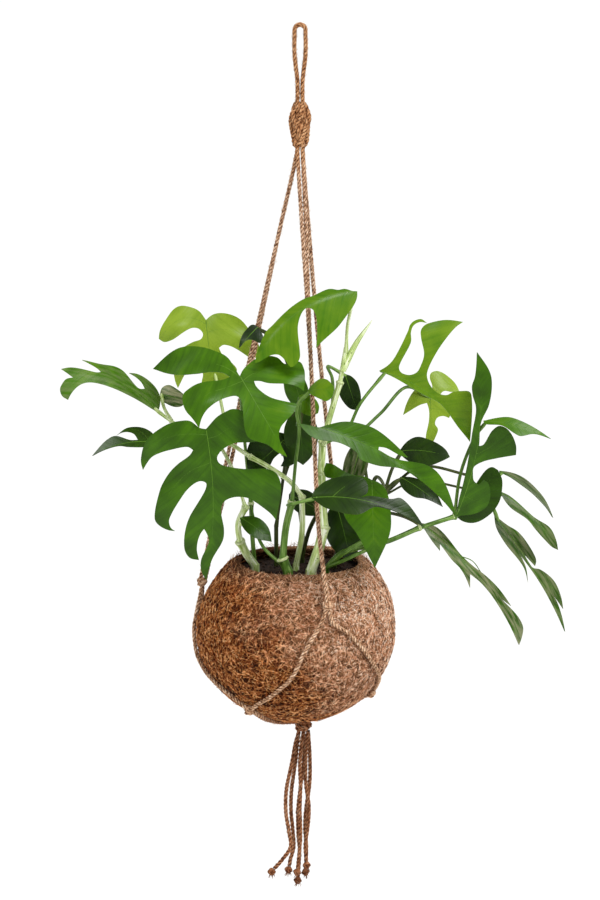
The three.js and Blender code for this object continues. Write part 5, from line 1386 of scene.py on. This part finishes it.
# The dark stalks right of the middle, with the hanging face-on leaf and the trailing leaf
innerRightStem = {
    "node": "inner_right_stem", "bark": "brown", "foot": (34, 6, 3.2),
    "joints": [
        {"through": [(48, 0, -506)], "to": (68, -8, -484), "radius": 2.8, "ring": 3.7},
        {"to": (84, -14, -462), "radius": 2.4, "ring": 3.2},
        {"through": [(120.4, 6, -438.6)], "to": (173.4, 18, -450.5), "radius": 1.5},
        {
            "from": (83, -13.5, -464), "through": [(116.3, 0, -451.6)], "to": (169.3, 14, -463),
            "radius": 1.2,
        },
    ],
    "leaves": [
        {
            "base": (70.7, -60, -437.2), "tip": (73.7, -74, -522.7), "face": (-0.1, -0.96, 0.2),
            "tone": 0.48, "droop": 24, "fold": 6, "curl": 24,
            "right": [
                (67, -35), (248, -75), (465, -212), (539, -231), (566, -150), (532, -60), (408, -25),
                (293, 27), (332, 137), (351, 249), (315, 409), (186, 603),
            ],
            "left": [(68, 26), (134, 84), (177, 175), (205, 400), (187, 602)],
            "stalk": [(84, -14, -464), (82, -34, -446), (75, -52, -436)],
        },
        {
            "base": (120.8, 4, -495.8), "tip": (221.7, -5, -620.6), "face": (0.3, -0.75, 0.6),
            "tone": 0.34, "grey": 0.45, "droop": 46, "fold": -10, "curl": 20, "sway": -0.02,
            "right": [
                (47, 130), (63, 208), (29, 178), (52, 299), (52, 368), (63, 425), (88, 501), (30, 438),
                (13, 516), (5, 609),
            ],
            "left": [
                (53, 86), (15, 316), (24, 416), (54, 518), (78, 637), (87, 774), (41, 680), (103, 891),
                (99, 948), (59, 978),
            ],
            "stalk": [(68, -8, -484), (84, 0, -484), (104, 4, -489)],
        },
        {
            "base": (99.1, 2, -422.3), "tip": (148.7, -26, -421.4), "face": (0.05, -0.75, 0.65),
            "tone": 0.1, "droop": 50, "fold": 10, "curl": 30,
            "right": [(163, 200), (270, 406), (304, 603), (249, 765), (130, 902)],
            "left": [(203, 131), (257, 219), (267, 364), (230, 564), (161, 770), (99, 896)],
            "stalk": [(84, -14, -462), (92, -6, -438)],
        },
        {
            "base": (99.8, -12, -444.9), "tip": (141.6, -40, -469.1), "face": (0.1, -0.85, 0.5),
            "tone": 0.1, "droop": 36, "fold": 10, "curl": 30,
            "right": [(124, 117), (188, 290), (191, 501), (87, 685)],
            "left": [(88, 171), (147, 379), (152, 579), (111, 770)],
            "stalk": [(84, -15, -460), (94, -14, -450)],
        },
        {
            "base": (62, 0, -409.7), "tip": (46.1, -4, -464.1), "face": (0.1, -0.97, 0.2),
            "tone": 0.2, "grey": 0.25, "droop": 24, "fold": 6, "curl": 20,
            "right": [(130, 120), (200, 360), (180, 620), (100, 850)],
            "left": [(140, 140), (220, 400), (190, 660), (90, 870)],
            "stalk": [(68, -8, -482), (68, -2, -460)],
        },
    ],
}

# The lowest stem on the right, with a small shaded leaf
lowRightStem = {
    "node": "low_right_stem", "bark": "brown", "foot": (2, 22, 2.6),
    "joints": [
        {"through": [(10, 18, -505)], "to": (24, 6, -476), "radius": 2.3, "ring": 3.1},
        {"from": (2, 22, -533), "through": [(3, 12, -511.2)], "to": (-2, 8, -473), "radius": 2},
    ],
    "leaves": [
        {
            "base": (36, -14, -471), "tip": (51.1, -17, -530), "face": (0.15, -0.97, 0.15),
            "tone": 0.1, "droop": 20,
            **plainSides,
            "stalk": [(24, 6, -476), (28, -4, -464)],
        },
        {
            "base": (-11.1, 6, -466.4), "tip": (24.1, 0, -484.6), "face": (0.05, -0.97, 0.3),
            "tone": 0.1, "droop": 24, "fold": 6, "curl": 20,
            **plainSides,
            "stalk": [(-2, 8, -474), (-8, 8, -464.8)],
        },
    ],
}


# The blade's base, its three directions, how far it bends and its length along the bend
def leafFrame(leaf):
    base, tip = Vector(leaf["base"]), Vector(leaf["tip"])
    chord = tip - base
    along = chord.normalized()
    face = Vector(leaf["face"])
    face = (face - along * face.dot(along)).normalized()
    droop = max(radians(leaf.get("droop", leafShape["droop"])), 0.01)
    length = chord.length * droop / 2 / sin(droop / 2)
    return {
        "base": base, "along": along, "face": face, "across": along.cross(face), "droop": droop,
        "length": length,
    }


# Where a point of the flat blade comes to lie: it arches along, cups across and waves at its edge
def bladePoint(leaf, frame, x, y, lift):
    droop, length = frame["droop"], frame["length"]
    rate = droop / length
    slope = droop / 2 - rate * y
    forward = (sin(droop / 2) - sin(slope)) / rate
    height = (cos(slope) - cos(droop / 2)) / rate
    fold = radians(leaf.get("fold", leafShape["fold"]))
    curl = max(radians(leaf.get("curl", leafShape["curl"])), 0.01) / (0.5 * length)
    tilt = reach = rise = sign = 0
    if x:
        tilt = fold - curl * abs(x)
        reach = (sin(fold) - sin(tilt)) / curl
        rise = (cos(tilt) - cos(fold)) / curl
        sign = copysign(1, x)
    share = y / length
    # About two waves along the edge, at another phase on each side; none near the midrib
    edge = min(1, 2.5 * abs(x) / length) ** 2
    wave = leafShape["waveHeight"] * length * edge * sin(14 * share + (1 if x > 0 else 3))
    sway = leaf.get("sway", 0) * length * 4 * share * (1 - share)
    lateral = sign * (reach - sin(tilt) * (lift + wave)) + sway
    vertical = rise + cos(tilt) * (lift + wave)
    return (
        frame["base"] + frame["along"] * (forward - vertical * sin(slope))
        + frame["face"] * (height + vertical * cos(slope)) + frame["across"] * lateral
    )


# One side of a blade's outline, smooth between its corners, from the base to the tip
def sideOutline(edge, length):
    places = [Vector((x / 1000, y / 1000, 0)) * length for x, y in ((0, 0), *edge, (0, 1000))]
    runs, run = [], [places[0]]
    for before, place, after in zip(places, places[1:], places[2:]):
        run.append(place)
        if (place - before).angle(after - place) > radians(leafShape["cornerTurn"]):
            runs.append(run)
            run = [place]
    outline = [places[0]]
    for run in [*runs, [*run, places[-1]]]:
        outline += smoothRoute(run, leafShape["edgeStep"])[1:]
    for place in outline[1:-1]:
        place.x = max(place.x, leafShape["ribGap"])
    return outline


# The ribs of a side's lobes: each leaves the midrib and runs out along the middle of its lobe. A
# lobe is wider than 0.08 of the length and ends where a notch cuts it to under 0.6 of its width
def lobeRibs(outline, length):
    ends, widest, narrowest = [0], 0, None
    for i, place in enumerate(outline):
        if narrowest is None:
            if place.x > outline[widest].x:
                widest = i
            elif outline[widest].x > 0.08 * length and place.x < 0.6 * outline[widest].x:
                narrowest = i
        elif place.x < outline[narrowest].x:
            narrowest = i
        elif place.x > outline[narrowest].x + 0.04 * length:
            ends.append(narrowest)
            widest, narrowest = i, None
    ribs = []
    for first, last in zip(ends, ends[1:]):
        root = Vector((0, (outline[first].y + outline[last].y) / 2, 0))
        tip = max(range(first, last + 1), key=lambda i: (outline[i] - root).length)
        path = [Vector((0, max(root.y - 0.03 * length, 0.015 * length), 0))]
        for share in (0.15, 0.35, 0.55, 0.75, 0.93):  # of the way out on both of its edges
            near = outline[round(first + (tip - first) * share)]
            far = outline[round(last + (tip - last) * share)]
            path.append((near + far) / 2)
        ribs.append(path)
    return ribs


# The blade: its flat outline is cut into small cells, given two faces and then bent
def makeBlade(leaf, frame):
    length = frame["length"]
    right = sideOutline(leaf["right"], length)
    left = [Vector((-p.x, p.y, 0)) for p in sideOutline(leaf["left"], length)]
    sheet = bmesh.new()
    sheet.faces.new([sheet.verts.new(place) for place in right + list(reversed(left))[1:-1]])
    cell = leafShape["cellSize"]
    low = [min(v.co[k] for v in sheet.verts) for k in (0, 1)]
    high = [max(v.co[k] for v in sheet.verts) for k in (0, 1)]
    for k, normal in ((0, (1, 0, 0)), (1, (0, 1, 0))):
        for i in range(ceil(low[k] / cell), floor(high[k] / cell) + 1):
            middle = (i * cell, 0, 0) if k == 0 else (0, i * cell, 0)
            geometry = sheet.verts[:] + sheet.edges[:] + sheet.faces[:]
            bmesh.ops.bisect_plane(sheet, geom=geometry, dist=1e-4, plane_co=middle, plane_no=normal)
    bmesh.ops.remove_doubles(sheet, verts=sheet.verts, dist=0.02)
    bmesh.ops.recalc_face_normals(sheet, faces=sheet.faces)
    if sum(face.normal.z * face.calc_area() for face in sheet.faces) < 0:
        bmesh.ops.reverse_faces(sheet, faces=sheet.faces)
    under = sheet.faces[:]
    raised = bmesh.ops.extrude_face_region(sheet, geom=under, use_keep_orig=True)["geom"]
    for item in raised:
        if isinstance(item, bmesh.types.BMVert):
            item.co.z = 1
    bmesh.ops.reverse_faces(sheet, faces=under)
    flat = sheet.loops.layers.uv.new("UVMap")
    for face in sheet.faces:
        heights = [vertex.co.z for vertex in face.verts]
        face.material_index = stemFinishes["under" if max(heights) == 0 else "top"]
        face.smooth = True
        for loop in face.loops:
            loop[flat].uv = (loop.vert.co.x / 100, loop.vert.co.y / 100)  # 1 for each 100 mm
        if min(heights) != max(heights):  # the blade's cut edge, which is sharp
            for edge in face.edges:
                if edge.verts[0].co.z == edge.verts[1].co.z:
                    edge.smooth = False
    half = leafShape["thickness"] / 2
    for vertex in sheet.verts:  # level is 1 on top and 0 under
        x, y, level = vertex.co
        vertex.co = bladePoint(leaf, frame, x if abs(x) > 1e-3 else 0, y, half if level else -half) * mm
    return meshFromShape(sheet, "blade")


def toneMesh(mesh, tone, grey=0.0):
    for name, value in (("leafTone", tone), ("leafGrey", grey)):
        layer = mesh.attributes.new(name, "FLOAT", "POINT")
        layer.data.foreach_set("value", [value] * len(mesh.vertices))
    return mesh


# The midrib stands out under the blade and lies as a thin line on it, and so do the lobes' veins;
# each is given by its height over the blade's middle and its radius
veinShape = {
    "steps": 16,
    "midrib": ((0.18, 0.45), (-0.5, 0.95)),
    "lobe": ((0.14, 0.26), (-0.3, 0.5)),
}


def addVeins(curve, leaf, frame):
    length = frame["length"]
    shares = [i / veinShape["steps"] for i in range(veinShape["steps"] + 1)]
    for lift, thick in veinShape["midrib"]:
        places = [bladePoint(leaf, frame, 0, length * (0.01 + 0.97 * share), lift) for share in shares]
        radii = [thick * (1 - 0.8 * share) for share in shares]  # a fifth as thick at the tip
        addStrand(curve, places, radii, stemFinishes["vein"])
    for edge, sign in ((leaf["right"], 1), (leaf["left"], -1)):
        for path in lobeRibs(sideOutline(edge, length), length):
            path = smoothRoute(path, spacing=4)
            for lift, thick in veinShape["lobe"]:
                places = [bladePoint(leaf, frame, sign * p.x, p.y, lift) for p in path]
                radii = [thick * (1 - 0.7 * i / len(path)) for i in range(len(path))]
                addStrand(curve, places, radii, stemFinishes["vein"])


# A waxy green face with painted light on its swells and painted shade between them, fine side veins and grey
# streaks on some leaves
def makeLeafTop():
    material = newMaterial("waxyLeafTop")
    room, flat = objectPlace(material), flatPlace(material)
    cloud = addNoise(material, room, scale=38.0, detail=3.0)
    parts = addParts(material, flat)
    across = addMath(material, "ABSOLUTE", (parts, "X"))
    # Side veins leave the midrib at a slant about every 9 mm and bend to the tip
    bent = addMath(material, "POWER", across, 0.85)
    slanted = addMath(material, "MULTIPLY_ADD", bent, -0.8, (parts, "Y"))
    line = addNode(material, "CombineXYZ", {"X": slanted, "Y": across}), 0
    bands = {"wave_type": "BANDS", "bands_direction": "X", "wave_profile": "SIN"}
    veins = addNode(material, "TexWave", {
        "Vector": line, **bands, "Scale": 3.4, "Distortion": 2.6, "Detail": 2.0, "Detail Scale": 1.4,
    })
    sharp = addMath(material, "POWER", (veins, "Fac"), 9.0)
    # Soft folds about 10 mm wide run out to the edge beside the side veins
    swept = addMapping(material, line, (10.0, 2.4, 1.0))
    folds = addNoise(material, swept, scale=1.0, detail=3.0, roughness=0.55)
    swell = addBlend(material, 0.42, cloud, folds)
    # Painted light and shade, with some uneven tone: the swells make the tone lighter or darker by up to
    # 0.375, and a vein makes it darker by 0.03
    lifted = addMath(material, "MULTIPLY_ADD", swell, 0.75, -0.375)
    shade = addMath(material, "ADD", addAttribute(material, "leafTone"), lifted)
    greens = [
        (0.0, "#142606"), (0.18, "#233b06"), (0.36, "#305405"), (0.52, "#416c05"), (0.75, "#668614"),
        (1.0, "#86a02e"),
    ]
    colour = addRamp(material, addMath(material, "MULTIPLY_ADD", sharp, -0.03, shade), greens)
    # Some leaves are greyer in long streaks, about 3 mm wide
    paler = addNoise(material, addMapping(material, flat, (30.0, 4.0, 1.0)), scale=1.0, detail=3.0)
    streak = addRange(material, paler, 0.4, 0.6)
    share = addMath(material, "MULTIPLY", addAttribute(material, "leafGrey"), streak)
    streaked = addColourBlend(material, share, colour, toLinear("#a8a282"))
    fine = addNoise(material, room, scale=700.0, detail=2.0)
    relief = addMath(material, "MULTIPLY_ADD", sharp, -0.06, swell)
    finer = addMath(material, "MULTIPLY_ADD", fine, 0.04, relief)
    bump = addBump(material, finer, strength=0.6, depth=0.0011)
    return closeMaterial(material, streaked, roughness=0.3, gloss=0.17, normal=bump)


# The underside is paler and matt
def makeLeafUnder():
    material = newMaterial("paleLeafUnderside")
    cloud = addNoise(material, objectPlace(material), scale=60.0, detail=3.0)
    lifted = addMath(material, "MULTIPLY_ADD", cloud, 0.3, -0.15)
    shade = addMath(material, "ADD", addAttribute(material, "leafTone"), lifted)
    colour = addRamp(material, shade, [(0.0, "#37511f"), (0.4, "#5b7f33"), (1.0, "#93ae55")])
    return closeMaterial(material, colour, roughness=0.5, gloss=0.4)


# Smooth satin bark with painted highlights in stripes along it; young stems carry small dark specks, about 1
# mm wide
def makeStemMaterial(name, dark, middle, pale, roughness, speck=None):
    material = newMaterial(name)
    room = objectPlace(material)
    stretched = addMapping(material, room, (1.0, 1.0, 0.3))
    cloud = addNoise(material, stretched, scale=140.0, detail=4.0, roughness=0.6)
    # Fine pale and dark stripes run along the stem, about eight round it: painted highlights
    ribbons = addMapping(material, flatPlace(material), (1.5, 8.0, 1.0))
    stripes = addNoise(material, ribbons, scale=1.0, detail=3.0, roughness=0.6)
    both = addBlend(material, 0.72, cloud, stripes)
    colour = addRamp(material, both, [(0.38, dark), (0.5, middle), (0.61, pale)])
    if speck:
        dots = addNoise(material, room, scale=420.0, detail=1.0)
        colour = addColourBlend(material, addRange(material, dots, 0.7, 0.735), colour, toLinear(speck))
    bump = addBump(material, both, strength=0.35, depth=0.0004)
    return closeMaterial(material, colour, roughness, gloss=0.25, normal=bump)


leafTop, leafUnder = makeLeafTop(), makeLeafUnder()
leafVein = makeStemMaterial("leafVein", "#436c14", "#577f20", "#6d9433", 0.45)
stemScar = makeStemMaterial("paleStemRing", "#9dad6e", "#bfcc93", "#dde4bf", 0.6)
barks = {
    "lime": makeStemMaterial("youngLimeStem", "#849f48", "#c7d990", "#f4f9e0", 0.4, "#4a5724"),
    "green": makeStemMaterial("greenStem", "#34500f", "#557a29", "#86a557", 0.42),
    "brown": makeStemMaterial("shadedOldStem", "#232b0f", "#3a4519", "#5c652f", 0.5),
}

# A stem's joint: even along its length and swollen at its upper end, where a pale ring marks
# where an old leaf was
jointShape = {
    "swellBefore": 7,
    "swellAfter": 5,
    "ringPlaces": (-1.6, -0.9, 0, 0.9, 1.5),  # along the stem, from the joint's end
    "ringRadii": (0.9, 1.03, 1.06, 1.0, 0.75),  # as shares of its radius
}


def addJoint(curve, start, joint):
    route = smoothRoute([start, *joint.get("through", []), joint["to"]], spacing=3)
    length = routeLength(route)
    ring = joint.get("ring", joint["radius"])
    radii = []
    for reached in reachedAlong(route):
        near = max(0, 1 - (length - reached) / jointShape["swellBefore"])
        far = max(0, 1 - reached / jointShape["swellAfter"]) * 0.5  # half as much at its foot
        radii.append(joint["radius"] + (ring - joint["radius"]) * max(near, far) ** 1.5)
    addStrand(curve, route, radii, stemFinishes["bark"])
    if "ring" in joint:
        way = (route[-1] - route[-2]).normalized()
        places = [route[-1] + way * offset for offset in jointShape["ringPlaces"]]
        radii = [ring * share for share in jointShape["ringRadii"]]
        addStrand(curve, places, radii, stemFinishes["ring"])


# The sheath that holds the next leaf, rolled up to a point
def addSheath(curve, spike):
    start, end = Vector(spike["from"]), Vector(spike["to"])
    middle = start.lerp(end, 0.5) + Vector((-1.5, 0, 1.5))  # it bows a little to the upper left
    route = smoothRoute([start, middle, end], spacing=4)
    last = len(route) - 1
    radii = [spike["radius"] * (1 - (i / last) ** 2.2) + 0.25 for i in range(last + 1)]
    addStrand(curve, route, radii, stemFinishes["bark"])


# A stalk clasps the stem over its first 12 mm and swells again 8 mm before it meets the blade
def addStalk(curve, leaf, frame):
    radius = leaf.get("stalkRadius", leafShape["stalkRadius"])
    socket = bladePoint(leaf, frame, 0, 0.05 * frame["length"], -0.7)  # just under the blade
    route = smoothRoute([*leaf["stalk"], socket], spacing=4)
    length = routeLength(route)
    radii = []
    for reached in reachedAlong(route):
        foot = max(0, 1 - reached / 12) * 0.5
        elbow = max(0, 1 - abs(length - 8 - reached) / 7) * 0.22
        radii.append(radius * (1 + foot + elbow))
    addStrand(curve, route, radii, stemFinishes["darkStalk" if "darkStalk" in leaf else "bark"])


def makeStem(name, plant):
    leafMaterials = (leafTop, leafUnder, leafVein, barks[plant["bark"]], stemScar, barks["green"])
    stalks = newCurve(name, 2, *leafMaterials)
    x, y, radius = plant["foot"]
    addJoint(stalks, (x, y, stemFoot["buriedZ"]), {"to": (x, y, stemFoot["surfaceZ"]), "radius": radius})
    last = (x, y, stemFoot["surfaceZ"] - stemFoot["overlap"])
    for joint in plant["joints"]:
        addJoint(stalks, joint.get("from", last), joint)
        last = joint["to"]
    for spike in plant.get("spikes", []):
        addSheath(stalks, spike)
    veins = newCurve(name, 0, *leafMaterials)
    meshes = []
    for leaf in plant["leaves"]:
        frameOfLeaf = leafFrame(leaf)
        meshes.append(toneMesh(makeBlade(leaf, frameOfLeaf), leaf["tone"], leaf.get("grey", 0.0)))
        addVeins(veins, leaf, frameOfLeaf)
        addStalk(stalks, leaf, frameOfLeaf)
    average = sum(leaf["tone"] for leaf in plant["leaves"]) / len(plant["leaves"])
    meshes += [toneMesh(meshFromCurve(stalks), average), toneMesh(meshFromCurve(veins), average)]
    finishPiece(name, joinMeshes(meshes, *leafMaterials), "foliage", plant["node"])


plants = {
    "mainVine": mainVine, "leftSideStem": leftSideStem, "middleVine": middleVine, "leftVine": leftVine,
    "starLeafStem": starLeafStem, "backLeftStem": backLeftStem, "rightStem": rightStem,
    "innerRightStem": innerRightStem, "lowRightStem": lowRightStem,
}
for plantName, plant in plants.items():
    makeStem(plantName, plant)
print("plant made")


# The studio: a pale floor far below, an even white room, a large soft lamp high on the left
# and two smaller ones that give the leaves their highlights
studio = {
    "floorZ": -1.25,
    "roomStrength": 0.46,
    "keyStrength": 2.35,
    "keyFrom": (0.6, -1.0, 1.7),
    "keySpread": 26,
    "lamps": (
        ("windowLamp", (-1.1, -1.5, 0.9), 0.26, 9.0),
        ("sideLamp", (1.5, -0.9, 0.5), 0.26, 5.0),
    ),
    "lampTarget": (0, 0, -0.45),
}


def addLamp(name, kind, place, target, **settings):
    lamp = bpy.data.lights.new(name, kind)
    for setting, value in settings.items():
        setattr(lamp, setting, value)
    holder = bpy.data.objects.new(name, lamp)
    holder.location = place
    holder.rotation_euler = (Vector(target) - Vector(place)).to_track_quat("-Z", "Y").to_euler()
    scene.collection.objects.link(holder)


def makeStudio():
    plane = bmesh.new()
    bmesh.ops.create_grid(plane, x_segments=1, y_segments=1, size=60)
    bmesh.ops.translate(plane, verts=plane.verts, vec=(0, 0, studio["floorZ"]))
    mesh = meshFromShape(plane, "paleFloor")
    ground = bpy.data.objects.new("paleFloor", mesh)
    scene.collection.objects.link(ground)
    paint = newMaterial("mattWhitePaint")  # even and matt, so the floor carries no reflection
    mesh.materials.append(closeMaterial(paint, toLinear("#fbfbfa"), roughness=1.0, gloss=0.0))
    room = bpy.data.worlds.new("whiteRoom")
    room.use_nodes = True
    air = room.node_tree.nodes["Background"].inputs
    air["Color"].default_value = (1, 1, 1, 1)
    air["Strength"].default_value = studio["roomStrength"]
    scene.world = room
    scene.view_settings.view_transform = "Standard"
    key = {"energy": studio["keyStrength"], "angle": radians(studio["keySpread"])}
    addLamp("keyLamp", "SUN", studio["keyFrom"], (0, 0, 0), **key)
    for name, place, size, power in studio["lamps"]:
        addLamp(name, "AREA", place, studio["lampTarget"], size=size, energy=power)


makeStudio()
print("studio lit")
